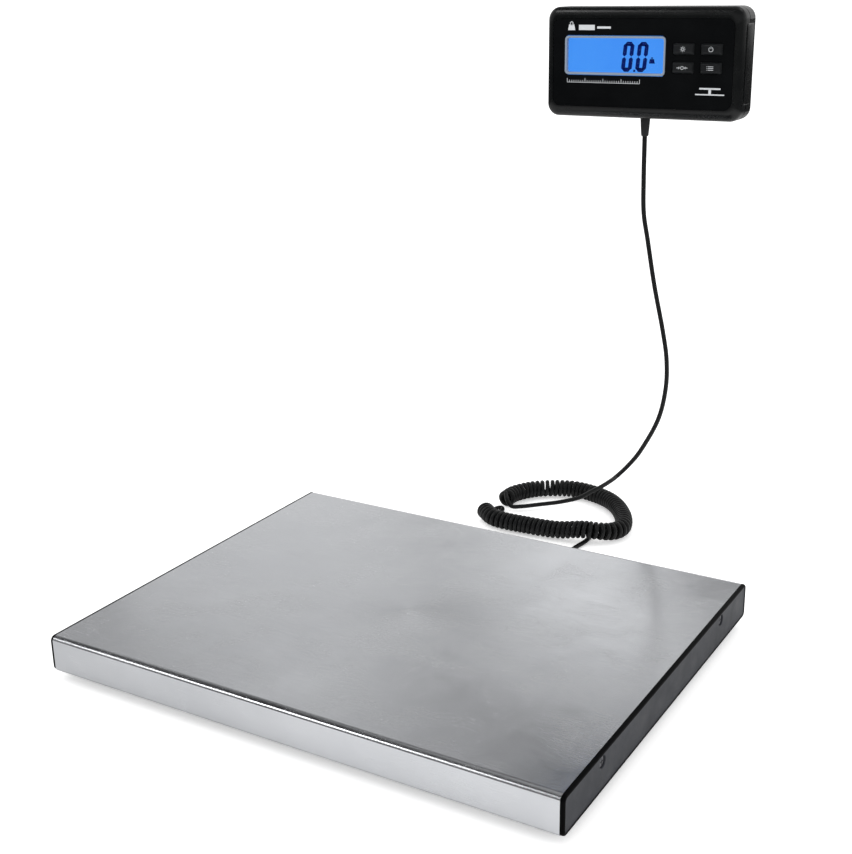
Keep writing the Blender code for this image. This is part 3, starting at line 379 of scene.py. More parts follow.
class Look(Nodes):
    """A procedural material: a Principled shader fed by patterns in the piece's own coordinates."""

    def __init__(self, name, colour, roughness, metallic=0.0, specular=0.5):
        self.material = bpy.data.materials.new(name)
        self.material.use_nodes = True
        super().__init__(self.material.node_tree)
        self.shader = self.tree.nodes["Principled BSDF"]
        self.set("Base Color", colour)
        self.set("Roughness", roughness)
        self.set("Metallic", metallic)
        self.set("Specular IOR Level", specular)
        self.place = self.add("TexCoord").outputs["Object"]

    def set(self, name, value):
        """Set or feed an input of the shader."""
        self.feed(self.shader.inputs[name], value)

    def noise(self, scale, detail=3.0, roughness=0.5, stretch=None, distortion=0.0):
        place = self.place
        if stretch:
            place = self.add("Mapping", {"Vector": place, "Scale": stretch}).outputs["Vector"]
        inputs = {"Vector": place, "Scale": scale, "Detail": detail, "Roughness": roughness}
        return self.add("TexNoise", {**inputs, "Distortion": distortion}).outputs["Fac"]

    def cells(self, scale):
        return self.add("TexVoronoi", {"Vector": self.place, "Scale": scale}).outputs["Distance"]

    def colours(self, fac, first, second):
        self.set("Base Color", self.mix(fac, first, second))

    def rough(self, value, low, high):
        self.set("Roughness", self.range(value, low, high))

    def bump(self, height, distance):
        """Add relief on top of the relief that is there already."""
        inputs = {"Strength": 1.0, "Distance": distance, "Height": height}
        below = self.shader.inputs["Normal"].links
        if below:
            inputs["Normal"] = below[0].from_socket
        self.set("Normal", self.add("Bump", inputs).outputs["Normal"])


def moulded(name, colour, roughness, specular=0.5, grain=2600.0, depth=0.00002, painted_sheen=0.25):
    """Moulded plastic or rubber: fine spark texture, faint lighter patches of painted sheen in the colour,
    and handling marks.
    """
    look = Look(f"{name}_look", colour, roughness, specular=specular)
    sheen_patches = look.noise(38.0, 4.0, 0.6)
    fine = look.noise(grain, 2.0, 0.6)
    # painted sheen: faint lighter patches mixed into the base colour
    sheen_colour = [c * (1 + painted_sheen) + 0.001 for c in colour]
    look.colours(look.range(sheen_patches, 0.0, 1.0), colour, sheen_colour)
    look.rough(look.noise(60.0, 5.0, 0.65), roughness - 0.05, roughness + 0.07)
    look.bump(fine, depth)
    return look


def plated(name, colour, roughness):
    """Plain plated or bare metal with light mottling."""
    look = Look(f"{name}_look", colour, roughness, metallic=1.0)
    mottle = look.noise(900.0, 3.0, 0.6)
    look.colours(look.range(look.noise(55.0, 4.0), 0.0, 1.0), colour, [c * 0.82 for c in colour])
    look.rough(mottle, roughness - 0.07, roughness + 0.09)
    look.bump(mottle, 0.00001)
    return look


def brushed_steel():
    """Stainless sheet: hairlines along X, soft mottling and a slightly wavy surface. The cloudy tone of its
    colour is partly real and partly painted reflection.
    """
    look = Look("brushed_stainless_look", (0.66, 0.665, 0.68), 0.26, metallic=1.0)
    hairlines = look.noise(1.0, 3.0, 0.65, stretch=(70.0, 5200.0, 5200.0))
    scratches = look.noise(1.0, 2.0, 0.7, stretch=(22.0, 1500.0, 1500.0), distortion=0.4)
    mottle = look.noise(26.0, 5.0, 0.62, distortion=0.6)
    # cloudy tone in the colour: partly the sheet's own, partly painted reflection
    stain_and_painted_reflection = look.noise(9.0, 4.0, 0.55, distortion=0.8)
    tone_and_painted_reflection = look.maths("ADD", look.range(mottle, 0.0, 0.5), look.range(stain_and_painted_reflection, 0.0, 0.5))
    base = look.mix(tone_and_painted_reflection, (0.590, 0.602, 0.628), (0.690, 0.702, 0.726))
    lined = look.mix(look.range(hairlines, 0.0, 0.15), base, (0.48, 0.485, 0.50))
    look.set("Base Color", lined)
    rough = look.maths("ADD", look.range(hairlines, 0.19, 0.26), look.range(mottle, -0.02, 0.05))
    look.set("Roughness", rough)
    look.set("Anisotropic", 0.35)
    look.bump(look.noise(7.5, 2.0, 0.4), 0.0011)
    look.bump(scratches, 0.0000006)
    look.bump(hairlines, 0.0000007)
    return look


def glowing_display():
    """Blue liquid crystal panel lit from behind, its glow slightly uneven."""
    look = Look("lcd_glow", (0.002, 0.008, 0.04), 0.40, specular=0.08)
    uneven = look.range(look.noise(28.0, 2.0), 0.0, 1.0)
    glow = look.mix(uneven, (0.056, 0.292, 0.965), (0.066, 0.325, 0.985))
    look.set("Emission Color", glow)
    look.set("Emission Strength", 0.98)
    return look


def clear_plastic():
    look = Look("clear_window_look", (0.02, 0.03, 0.05), 0.10, specular=0.3)
    look.rough(look.noise(90.0, 4.0), 0.06, 0.14)
    look.set("Alpha", 0.04)
    return look


def circuit_board():
    look = Look("circuit_board_look", (0.012, 0.10, 0.045), 0.35)
    tracks = look.cells(420.0)
    look.colours(look.range(tracks, 0.0, 1.0, 0.25, 0.45), (0.020, 0.15, 0.06), (0.008, 0.075, 0.03))
    look.rough(look.noise(300.0), 0.28, 0.45)
    look.bump(tracks, 0.00003)
    return look


def battery_sleeve():
    look = Look("battery_sleeve_look", (0.07, 0.09, 0.13), 0.3)
    fibres = look.noise(1.0, 3.0, 0.6, stretch=(40.0, 900.0, 900.0))
    look.colours(look.range(fibres, 0.0, 1.0), (0.06, 0.08, 0.12), (0.10, 0.12, 0.17))
    look.rough(look.noise(120.0), 0.22, 0.38)
    return look


def light_guide():
    look = Look("light_guide_look", (0.5, 0.7, 1.0), 0.35)
    look.colours(look.range(look.cells(900.0), 0.0, 1.0), (0.42, 0.62, 1.0), (0.6, 0.78, 1.0))
    return look


MOULDED = {                     # colour, roughness, specular level, grain, depth of grain, strength of the painted sheen
    "cap_plastic": ((0.026, 0.028, 0.034), 0.50, 0.25, 1800.0, 0.00003),
    "cap_rim": ((0.0010, 0.0011, 0.0013), 0.36, 0.03, 2600.0, 0.00002, 0.1),
    "foot_plastic": ((0.020, 0.021, 0.023), 0.45),
    "shell_plastic": ((0.0020, 0.0026, 0.0028), 0.24, 0.34, 1500.0, 0.0000005),
    "label_film": ((0.0026, 0.0030, 0.0034), 0.40, 0.035, 3200.0, 0.000006),
    "key_plastic": ((0.008, 0.009, 0.010), 0.42, 0.22, 3000.0, 0.00001),
    "black_rubber": ((0.010, 0.010, 0.011), 0.55, 0.35),
    "foot_rubber": ((0.014, 0.014, 0.015), 0.62, 0.30),
    "cord_jacket": ((0.0055, 0.0058, 0.0062), 0.38, 0.24, 1500.0, 0.00002),
    "wire_sleeve": ((0.22, 0.22, 0.23), 0.45),
    "print_white": ((0.62, 0.64, 0.66), 0.5, 0.3, 1800.0, 0.000005, 0.1),
    "frame_silver": ((0.26, 0.31, 0.38), 0.40, 0.3, 2400.0, 0.000008, 0.1),
    "lcd_segment": ((0.002, 0.012, 0.13), 0.5, 0.02, 1800.0, 0.000004, 0.05),
    "painted_pan": ((0.028, 0.029, 0.031), 0.5, 0.4, 1400.0, 0.00004),
}
PLATED = {                      # colour and roughness
    "zinc_plate": ((0.55, 0.56, 0.58), 0.36),
    "cell_steel": ((0.42, 0.43, 0.45), 0.34),
    "blackened_screw": ((0.20, 0.20, 0.215), 0.46),
}
LOOKS = {
    "brushed_stainless": brushed_steel(),
    "lcd_glass": glowing_display(),
    "clear_window": clear_plastic(),
    "circuit_board": circuit_board(),
    "battery_sleeve": battery_sleeve(),
    "light_guide": light_guide(),
}
LOOKS.update({name: moulded(name, *values) for name, values in MOULDED.items()})
LOOKS.update({name: plated(name, *values) for name, values in PLATED.items()})


def look(name):
    return LOOKS[name].material


# ---------------- platform

def bent_outline(depth, bottom, top, steps=12):
    """Outline (y, z) of the folded cover: skirts at both ends with a flange turned inwards."""
    def side_run(offset):
        radius = BEND_RADIUS - offset
        along = BEND_LENGTH - offset
        right = [(depth / 2 - RETURN_FLANGE, bottom + offset)]
        lower_bend = (depth / 2 - BEND_RADIUS, bottom + BEND_RADIUS)
        right += arc(lower_bend, radius, math.radians(-90), 0.0, steps)
        for i in range(steps + 1):
            t = math.radians(90) * i / steps
            y = depth / 2 - BEND_LENGTH + along * math.cos(t)
            right.append((y, top - BEND_RADIUS + radius * math.sin(t)))
        return right + [(-y, z) for y, z in reversed(right)]
    return side_run(0.0) + side_run(SHEET)[::-1]


def platter_cover():
    """The folded sheet, in strips from its left edge to its right edge."""
    low, high = box("platter_cover")
    centre_y = (low.y + high.y) / 2
    outline = bent_outline(high.y - low.y, low.z, high.z)
    rings = []
    for i in range(COVER_STEPS + 1):
        x = low.x - COVER_OVERHANG + (high.x - low.x + 2 * COVER_OVERHANG) * i / COVER_STEPS
        rings.append([(x, centre_y + y, z) for y, z in outline])
    return to_mesh(loft(rings))


def end_cap(node, side):
    """Cap with a raised rounded rim round a flat face, and a recess over each screw."""
    size, centre = size_of(node), middle(node)
    outer = outer_face(node, side)
    inner = outer_face("platter_cover", side) + side * (COVER_OVERHANG + GAP)
    profile = [(0.0, inner, RIM), (0.0, outer - side * CAP_RIM_RADIUS, RIM)]
    steps = 6
    for i in range(1, steps + 1):
        t = math.radians(90) * i / steps
        inset = CAP_RIM_RADIUS * (1 - math.cos(t))
        profile.append((inset, outer - side * CAP_RIM_RADIUS * (1 - math.sin(t)), RIM))
    profile.append((CAP_RIM - 0.0004, outer - side * 0.0001, RIM))
    profile.append((CAP_RIM, outer - side * CAP_FACE_RECESS * 0.6, RIM))
    profile.append((CAP_RIM + 0.0003, outer - side * CAP_FACE_RECESS, FACE))
    rings = []
    for inset, x, _ in profile:
        radius = max(CAP_CORNER - inset, 0.0012)
        outline = rounded_rectangle(size.y - 2 * inset, size.z - 2 * inset, radius)
        rings.append([(x, centre.y + a, centre.z + b) for a, b in outline])
    kinds = [kind for _, _, kind in profile[1:]]
    cap = to_mesh(loft(rings, kinds))
    for name in CAP_LOOKS:
        cap.materials.append(look(name))
    tools = []
    for end in ("front", "rear"):
        screw = middle(f"cap_screw_{node.rsplit('_', 1)[1]}_{end}")
        wide = CAP_RECESS_RADIUS
        cone = [(wide * 0.92, -CAP_SEAT_DEPTH), (wide * 0.95, -0.0010)]
        cone += [(wide * 1.12, -0.0003), (wide * 1.3, 0.0012)]
        tools.append(revolved([(r, side * x) for r, x in cone], (outer, screw.y, screw.z), "X"))
    return cut(cap, tools)


def foot(node):
    """Turned foot with rounded edges: a flange above the pan and a stem under the load cell."""
    low, _ = box(node)
    centre, size = middle(node), size_of(node)
    flange, height = size.x / 2, size.z
    radius = flange - FOOT_FLANGE
    shoulder = height * 0.60
    edge, web, neck, stem = 0.0008, 0.0012, 0.005, 0.004
    profile = [(BORE, 0.0), (radius - edge, 0.0), (radius - edge * 0.3, edge * 0.3), (radius, edge)]
    profile += [(radius, shoulder), (flange, shoulder), (flange, shoulder + web - 0.0001)]
    profile += [(neck, shoulder + web), (stem, height), (BORE, height)]
    return revolved(profile, (centre.x, centre.y, low.z))


def foot_pad(node):
    """Rubber pad with a rounded edge and two shallow grooves round its sole."""
    low, _ = box(node)
    centre, size = middle(node), size_of(node)
    radius, height = size.x / 2, size.z
    groove = 0.0003
    profile = [(BORE, groove), (radius * 0.42, groove), (radius * 0.45, 0.0), (radius * 0.66, 0.0)]
    profile += [(radius * 0.69, groove), (radius * 0.74, groove), (radius * 0.77, 0.0)]
    profile += [(radius - 0.0008, 0.0), (radius - 0.0002, 0.0003), (radius, 0.0009)]
    profile += [(radius, height - 0.0005), (radius - 0.0004, height), (BORE, height)]
    return revolved(profile, (centre.x, centre.y, low.z))


def cap_screw(node, side):
    """Domed screw head with a cross slot, on its threaded shank."""
    centre, size = middle(node), size_of(node)
    head, length = size.y / 2, size.x
    outer = outer_face(node, side)
    dome, shank = 0.0014, 0.0014
    profile = [(BORE, -length), (shank, -length), (shank + 0.0001, -dome), (head, -dome)]
    profile += [(head, -dome * 0.45), (head * 0.93, -dome * 0.22), (head * 0.75, -dome * 0.06), (BORE, 0.0)]
    mesh = revolved([(r, side * x) for r, x in profile], (outer, centre.y, centre.z), "X")
    arm, half, slot_depth = head * 0.6, 0.0004, 0.0009
    near, far = sorted((outer - side * slot_depth, outer + side * 0.001))
    slots = [
        box_mesh((near, centre.y - a, centre.z - b), (far, centre.y + a, centre.z + b))
        for a, b in ((arm, half), (half, arm))
    ]
    return cut(mesh, slots)


def cord_gland():
    """Rubber grommet in the rear skirt, with a rounded nose round the cord."""
    low, high = box("cord_gland")
    centre = middle("cord_gland")
    rear = box("platter_cover")[1].y
    flange = (high.z - low.z) / 2
    bore = CORD_RADIUS + 0.0003
    neck = flange * 0.68
    start, end = low.y - rear, high.y - rear
    profile = [(bore, start), (flange * 0.85, start), (flange, -SHEET - 0.0012), (flange, -SHEET - GAP)]
    profile += [(neck, -SHEET - GAP), (neck, GAP), (flange - 0.0003, GAP), (flange, GAP + 0.0003)]
    profile += [(flange - 0.0003, end * 0.38), (flange * 0.78, end * 0.62), (flange * 0.62, end * 0.94)]
    profile += [(flange * 0.55, end), (bore, end)]
    return revolved(profile, (centre.x, rear, centre.z), "Y")


def build_platform():
    piece("platter_skin", platter_cover(), "brushed_stainless", "platform", ["platter_cover"])
    for hand, side in (("left", -1), ("right", 1)):
        cap = f"end_cap_{hand}"
        piece(f"{cap}_skin", end_cap(cap, side), "cap_plastic", "platform", [cap], CAP_LOOKS)
        for end in ("front", "rear"):
            screw = f"cap_screw_{hand}_{end}"
            piece(f"{screw}_skin", cap_screw(screw, side), "blackened_screw", "platform", [screw])
            corner = f"{end}_{hand}"
            body = f"foot_body_{corner}"
            cup, pad = f"foot_{corner}", f"foot_pad_{corner}"
            piece(f"{cup}_skin", foot(cup), "foot_plastic", body, [cup])
            piece(f"{pad}_skin", foot_pad(pad), "foot_rubber", body, [pad])
    piece("cord_gland_skin", cord_gland(), "black_rubber", "platform", ["cord_gland"])


# ---------------- cord

def floor_level():
    """Height of the middle of a cord that lies on the floor."""
    return box("coiled_cord")[0].z + CORD_RADIUS


def coil_pitch(share, bend):
    """Distance between turns at a share of the coil's length, wider where the axis bends."""
    slope = 0.05
    pitch = COIL_TIGHT
    for start, end, widest in COIL_OPEN_RUNS:
        apart = min((share - start) / slope, (end - share) / slope, 1.0)
        pitch = max(pitch, COIL_TIGHT + (widest - COIL_TIGHT) * apart)
    return pitch / (1 - abs(bend) * COIL_RADIUS)


def coil_stations():
    """Points close together on the coil's axis, each with the turns wound so far and its normal."""
    path = through([from_platform(x, y) for x, y in COIL_RUN], 12)
    lengths = [(b - a).length for a, b in zip(path, path[1:])]
    total = sum(lengths)
    headings = [math.atan2(b.y - a.y, b.x - a.x) for a, b in zip(path, path[1:])]
    bends = [
        math.remainder(after - before, 2 * math.pi) / length
        for before, after, length in zip([headings[0], *headings], headings, lengths)
    ]
    run = turns = 0.0
    stations = []
    for i, point in enumerate(path):
        heading = headings[min(i, len(headings) - 1)]
        nearby = bends[max(i - BEND_SPAN, 0):i + BEND_SPAN + 1]
        normal = Vector((math.sin(heading), -math.cos(heading), 0.0))
        stations.append((turns, point, normal))
        if i < len(lengths):
            run += lengths[i]
            turns += lengths[i] / coil_pitch(run / total, sum(nearby) / len(nearby))
    return stations


def coil_points():
    """The helix: it starts under the axis, where the platform lead comes in, and ends above it."""
    stations = coil_stations()
    whole = round(stations[-1][0])
    stretch = stations[-1][0] / (whole + 0.5)
    crossing = from_platform(*CROSSING)
    coil_z = floor_level() + COIL_RADIUS
    points = []
    level = 0
    for i in range(whole * COIL_STEPS + COIL_STEPS // 2 + 1):
        turn = i / COIL_STEPS
        uneven = 0.03 * math.sin(turn * 0.9) + 0.015 * math.sin(turn * 2.3 + 1.0)
        wound = min(max((turn + uneven) * stretch, 0.0), stations[-1][0])
        while level < len(stations) - 2 and stations[level + 1][0] < wound:
            level += 1
        before, after = stations[level], stations[level + 1]
        share = (wound - before[0]) / (after[0] - before[0])
        centre = before[1].lerp(after[1], share)
        normal = before[2].lerp(after[2], share).normalized()
        nearness = (crossing - centre).length / CROSSING_SPREAD
        rise = Vector((0.0, 0.0, coil_z + CROSSING_LIFT * math.exp(-nearness ** 2)))
        angle = 2 * math.pi * (turn - 0.25)
        around = normal * math.cos(angle) + Vector((0.0, 0.0, math.sin(angle)))
        points.append(centre + rise + around * COIL_RADIUS)
    return points


def platform_lead_stops():
    """From the junction board, out of the gland, under the coil and up to its front left end."""
    gland = middle("cord_gland")
    rear = box("platter_cover")[1].y
    floor = floor_level()
    stops = [
        (gland.x, box("junction_board")[1].y + 0.004, INNER_CORD_Z),
        *((gland.x, rear - ahead, INNER_CORD_Z) for ahead in (0.040, 0.022)),
        *((gland.x, rear - ahead, gland.z) for ahead in (0.009, 0.005, -0.005)),
        (gland.x, rear + 0.008, gland.z - 0.0002),
        (gland.x + 0.0005, rear + 0.017, gland.z - 0.0055),
        (gland.x + 0.003, rear + 0.030, floor + 0.0021),
        (gland.x + 0.0065, rear + 0.048, floor),
        (gland.x + 0.0090, rear + 0.065, floor),
    ]
    on_floor = (
        CROSSING, (0.0280, 0.2430), (0.0160, 0.2470), (-0.0100, 0.2430), (-0.0350, 0.2425),
        (-0.0520, 0.2440), (-0.0608, 0.2510), (-0.0622, 0.2575), (-0.0650, 0.2605),
        (-0.0680, 0.2575), (-0.0690, 0.2480),
    )
    return stops + [tuple(from_platform(x, y, floor)) for x, y in on_floor]


def loop_stops():
    """From the coil's rear left end, through the ring and up to the foot of the straight lead."""
    return [tuple(from_platform(*stop)) for stop in (
        (-0.0610, 0.2630, 0.0110), (-0.0560, 0.2625, 0.0050), (-0.0480, 0.2675, 0.0045),
        (-0.0372, 0.2765, 0.0050),
        (-0.0206, 0.2870, 0.0070), (-0.0050, 0.2927, 0.0120), (0.0067, 0.2931, 0.0200),
        (0.0172, 0.2909, 0.0275), (0.0288, 0.2850, 0.0375), LEAD_FOOT,
    )]


def build_cord():
    coil = coil_points()
    into = through([*platform_lead_stops(), tuple(coil[0])])
    out = through([tuple(coil[-1]), *loop_stops()])
    cord = tube(into[:-1] + coil + out[1:], CORD_RADIUS)
    piece("coiled_cord_skin", cord, "cord_jacket", "platform", ["coiled_cord"], angle=60)


def build_lead():
    """The straight lead between the coil's loop and the display."""
    low, high = box("display_lead")
    boot_low, _ = box("cord_boot")
    boot = middle("cord_boot")
    platform = middle("platter_cover")
    x, y = boot.x - platform.x, boot.y - platform.y
    run = (
        LEAD_FOOT, (0.0473, 0.2746, 0.0573), (0.0592, 0.2713, 0.0737), (0.0743, 0.2679, 0.1032),
        (0.0800, y, 0.1300), (0.0799, y, 0.1546), (0.0756, y, 0.1788), (0.0672, y, 0.2143),
        (0.0603, y, 0.2495), (0.0562, y, 0.2710), (0.0552, y, 0.2960), (x, y, boot_low.z - 0.004),
        (x, y, high.z - 0.008), (x, y, high.z),
    )
    stops = [from_platform(*stop) for stop in run]
    lead = piece("display_lead_skin", tube(through(stops, 14), CORD_RADIUS), "cord_jacket", None,
                 ["display_lead"], angle=60)
    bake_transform(lead)


# ---------------- display head

def shell_rings(profile, centre, width, height):
    """Rings of the head's outline from (inset, y) pairs."""
    rings = []
    for inset, y in profile:
        radius = max(HEAD_CORNER - inset * 0.6, 0.0015)
        tall = inset * FRONT_EDGE_TALL
        outline = rounded_rectangle(width - 2 * inset, height - 2 * tall, radius, 10)
        rings.append(facing_front(outline, centre, y))
    return rings


def front_shell():
    """Front half of the head, hollow, with openings for the display and the keys."""
    low, high = box("front_shell")
    centre, parting = front_centre("front_shell"), high.y
    width, height = high.x - low.x, high.z - low.z
    quarter = arc((0.0, 0.0), FRONT_EDGE, 0.0, math.radians(90), 8)
    profile = [(FRONT_EDGE - inwards, low.y + FRONT_EDGE - back) for back, inwards in quarter]
    groove = PARTING_GROOVE
    profile += [(0.0, parting - 2 * groove), (groove, parting - groove), (groove, parting)]
    shell = to_mesh(loft(shell_rings(profile, centre, width, height)))
    hollow_width, hollow_height = width - 2 * HEAD_WALL, height - 2 * HEAD_WALL
    hollow_outline = rounded_rectangle(hollow_width, hollow_height, HEAD_CORNER - HEAD_WALL, 4)
    hollow = slab(hollow_outline, centre, low.y + FRONT_EDGE * 0.7, parting + HEAD_CUT)
    narrow = FRONT_EDGE * 0.5
    nose_outline = rounded_rectangle(hollow_width - 2 * narrow, hollow_height - 2 * narrow, 0.0035, 4)
    nose = slab(nose_outline, centre, low.y + 0.0026, parting + HEAD_CUT)
    seat = opening_outline("label_panel", LABEL_CORNER + GAP, 0.0, 8)
    recess = slab(seat, centre, low.y - HEAD_CUT, low.y + 0.0007)
    return cut(shell, [hollow, nose, recess, *face_openings(low.y - HEAD_CUT, low.y + 0.0045)])


def opening_outline(node, corner, flange, steps):
    """Outline of the opening that a node fits into, inside the flange that stays behind it."""
    size = size_of(node)
    spare = 2 * GAP
    return rounded_rectangle(size.x - 2 * flange + spare, size.z - 2 * flange + spare, corner, steps)


def face_openings(front, back):
    """Cutters for the display window and the four keys."""
    openings = [("lcd_frame", opening_outline("lcd_frame", 0.0033, 0.0, 8))]
    openings += [(key, opening_outline(key, 0.0012, KEY_FLANGE, 4)) for key in KEYS]
    return [slab(outline, front_centre(node), front, back) for node, outline in openings]


def label_panel():
    """Thin panel over the face, with openings for the display and the keys."""
    low, high = box("label_panel")
    outline = rounded_rectangle(high.x - low.x, high.z - low.z, LABEL_CORNER)
    panel = slab(outline, front_centre("label_panel"), low.y, high.y, 0.0001)
    return cut(panel, face_openings(low.y - HEAD_CUT, low.y + HEAD_CUT))


def lcd_frame():
    """Border of the display with a rounded front lip."""
    low, high = box("lcd_frame")
    centre, size = front_centre("lcd_frame"), high - low
    lip = 0.0005
    rings = []
    for inset, y in (
        (0.0, high.y), (0.0, low.y + lip), (lip * 0.3, low.y + lip * 0.3), (lip, low.y),
        (0.0012, low.y + 0.0001), (0.0016, low.y + 0.0005), (0.0018, high.y),
    ):
        corner = max(0.0030 - inset * 0.7, 0.0012)
        outline = rounded_rectangle(size.x - 2 * inset, size.z - 2 * inset, corner)
        rings.append(facing_front(outline, centre, y))
    bm = loft(rings, closed=False)
    bm.verts.ensure_lookup_table()
    around = len(rings[0])
    first, last = bm.verts[:around], bm.verts[-around:]
    for i in range(around):
        after = (i + 1) % around
        bm.faces.new((first[i], first[after], last[after], last[i]))
    bmesh.ops.recalc_face_normals(bm, faces=bm.faces)
    return to_mesh(bm)


def key_cap(node):
    """Key with a rounded top, sloping sides and a flange behind the shell's wall."""
    low, high = box(node)
    size = high - low
    face = box("label_panel")[0].y
    proud = face - low.y
    profile = [(0.0, high.y), (0.0, face + 0.0030), (KEY_FLANGE, face + 0.0028), (KEY_FLANGE, face + 0.0002)]
    for inset, share in ((0.0002, 0.0), (0.0009, 0.72), (0.0012, 0.90), (0.0018, 0.99), (0.0026, 1.0)):
        profile.append((KEY_FLANGE + inset, face - proud * share))
    rings = []
    for inset, y in profile:
        outline = rounded_rectangle(size.x - 2 * inset, size.z - 2 * inset, 0.0010, 4)
        rings.append(facing_front(outline, front_centre(node), y))
    return to_mesh(loft(rings))


def flat_shape(centre, outline, y, depth=HAIR):
    """A printed shape: its outline stood up on the face at y, and how thick it is."""
    return facing_front(outline, centre, y), depth


def bar(centre, along, thickness, y, depth=HAIR):
    """A straight stroke between two points (x, z)."""
    a, b = Vector(along[0]), Vector(along[1])
    direction = (b - a).normalized()
    across = Vector((-direction.y, direction.x)) * thickness / 2
    return flat_shape(centre, [a - across, b - across, b + across, a + across], y, depth)


def trapezoid(foot, top, low, high):
    """Outline of a weight: half its width at the foot and at the top, and its two heights."""
    return [(-foot, low), (foot, low), (top, high), (-top, high)]


def marks_mesh(shapes):
    """Flat printed shapes facing the front, each an outline of points with a small depth."""
    bm = bmesh.new()
    for outline, depth in shapes:
        front = [bm.verts.new((x, y - depth, z)) for x, y, z in outline]
        back = [bm.verts.new((x, y, z)) for x, y, z in outline]
        bm.faces.new(front)
        for i in range(len(front)):
            j = (i + 1) % len(front)
            bm.faces.new((front[i], back[i], back[j], front[j]))
    bmesh.ops.recalc_face_normals(bm, faces=bm.faces)
    return to_mesh(bm)


def ring_shapes(centre, radius, thickness, y, start=0.0, end=2 * math.pi, steps=24):
    """An annular arc as short bars."""
    points = arc((0.0, 0.0), radius, start, end, steps)
    return [bar(centre, pair, thickness, y) for pair in zip(points, points[1:])]


def seven_segment(centre, width, height, thickness, lit, y, slant):
    """One digit: pointed bars that lean to the right and overlap a little at the corners."""
    half_w, half_h = width / 2 - thickness / 2, height / 2 - thickness / 2
    gap, overlap, tip = thickness * 0.16, thickness * 0.10, thickness * 0.42
    ends = {
        "top": ((-half_w, half_h), (half_w, half_h)),
        "middle": ((-half_w, 0.0), (half_w, 0.0)),
        "bottom": ((-half_w, -half_h), (half_w, -half_h)),
        "upper_left": ((-half_w, gap), (-half_w, half_h)),
        "upper_right": ((half_w, gap), (half_w, half_h)),
        "lower_left": ((-half_w, -half_h), (-half_w, -gap)),
        "lower_right": ((half_w, -half_h), (half_w, -gap)),
    }
    shapes = []
    for name in lit:
        a, b = Vector(ends[name][0]), Vector(ends[name][1])
        along = (b - a).normalized()
        across = Vector((-along.y, along.x)) * thickness / 2
        a, b = a - along * overlap, b + along * overlap
        near, far = a + along * tip, b - along * tip
        outline = [a, near - across, far - across, b, far + across, near + across]
        leaning = [(p.x + slant * p.y, p.y) for p in outline]
        shapes.append(flat_shape(centre, leaning, y, SEGMENT_THICKNESS))
    return shapes


ZERO = ("top", "bottom", "upper_left", "upper_right", "lower_left", "lower_right")


def lcd_reading():
    """The reading 0.0 and a small weight sign after it, for the unit."""
    window_low, window_high = box("lcd_frame")
    width, height = window_high.x - window_low.x, window_high.z - window_low.z
    y = box("lcd_panel")[0].y - GAP
    digit_height = height * 0.765
    digit_width = width * 0.106
    lean, dot = 0.10, 0.0008
    z = (window_low.z + window_high.z) / 2 - height * 0.03
    shapes = []
    for share in (0.622, 0.762):        # of the window's width
        middle_of_digit = (window_low.x + width * share, z)
        shapes += seven_segment(middle_of_digit, digit_width, digit_height, SEGMENT_WIDTH, ZERO, y, lean)
    point = (window_low.x + width * 0.690, z - digit_height / 2 + dot)
    shapes.append(bar(point, ((0.0, -dot), (0.0, dot)), 2 * dot, y, SEGMENT_THICKNESS))
    sign = (window_low.x + width * 0.860, z - height * 0.09)
    shapes.append(bar(sign, ((0.0, 0.0015), (0.0, 0.0024)), 0.0014, y, SEGMENT_THICKNESS))
    shapes.append(flat_shape(sign, trapezoid(0.0023, 0.0016, -0.0020, 0.0012), y, SEGMENT_THICKNESS))
    return marks_mesh(shapes)


def printed_marks():
    """Generic white marks on the label: a weight and two bars, a tick scale, and a platform on its foot."""
    low, high = box("lcd_frame")
    face = box("label_panel")[0].y
    left = low.x + 0.0025
    title = high.z + 0.0068
    weight = (left + 0.0030, title)
    shapes = [flat_shape(weight, trapezoid(0.0030, 0.0021, -0.0028, 0.0014), face)]
    shapes += ring_shapes((weight[0], title + 0.0022), 0.0011, 0.0006, face)
    for start, length, thickness in ((0.0090, 0.0130, 0.0038), (0.0240, 0.0110, 0.0016)):
        shapes.append(bar((left + start, title - 0.0008), ((0.0, 0.0), (length, 0.0)), thickness, face))
    scale_z = low.z - 0.0058
    ticks, tick_step = 33, 0.00185
    shapes.append(bar((left, scale_z), ((0.0, 0.0), ((ticks - 1) * tick_step, 0.0)), 0.0003, face))
    for i in range(ticks):
        tall = 0.0030 if i % 8 == 0 else 0.0017
        shapes.append(bar((left + i * tick_step, scale_z), ((0.0, 0.0), (0.0, tall)), MARK_LINE, face))
    badge = (middle("key_mode").x, box("key_mode")[0].z - 0.0115)
    shapes.append(bar(badge, ((-0.0110, -0.0022), (0.0110, -0.0022)), 0.0009, face))
    shapes.append(bar(badge, ((-0.0080, 0.0020), (0.0080, 0.0020)), 0.0012, face))
    shapes.append(bar(badge, ((0.0, -0.0018), (0.0, 0.0016)), 0.0020, face))
    return marks_mesh(shapes)


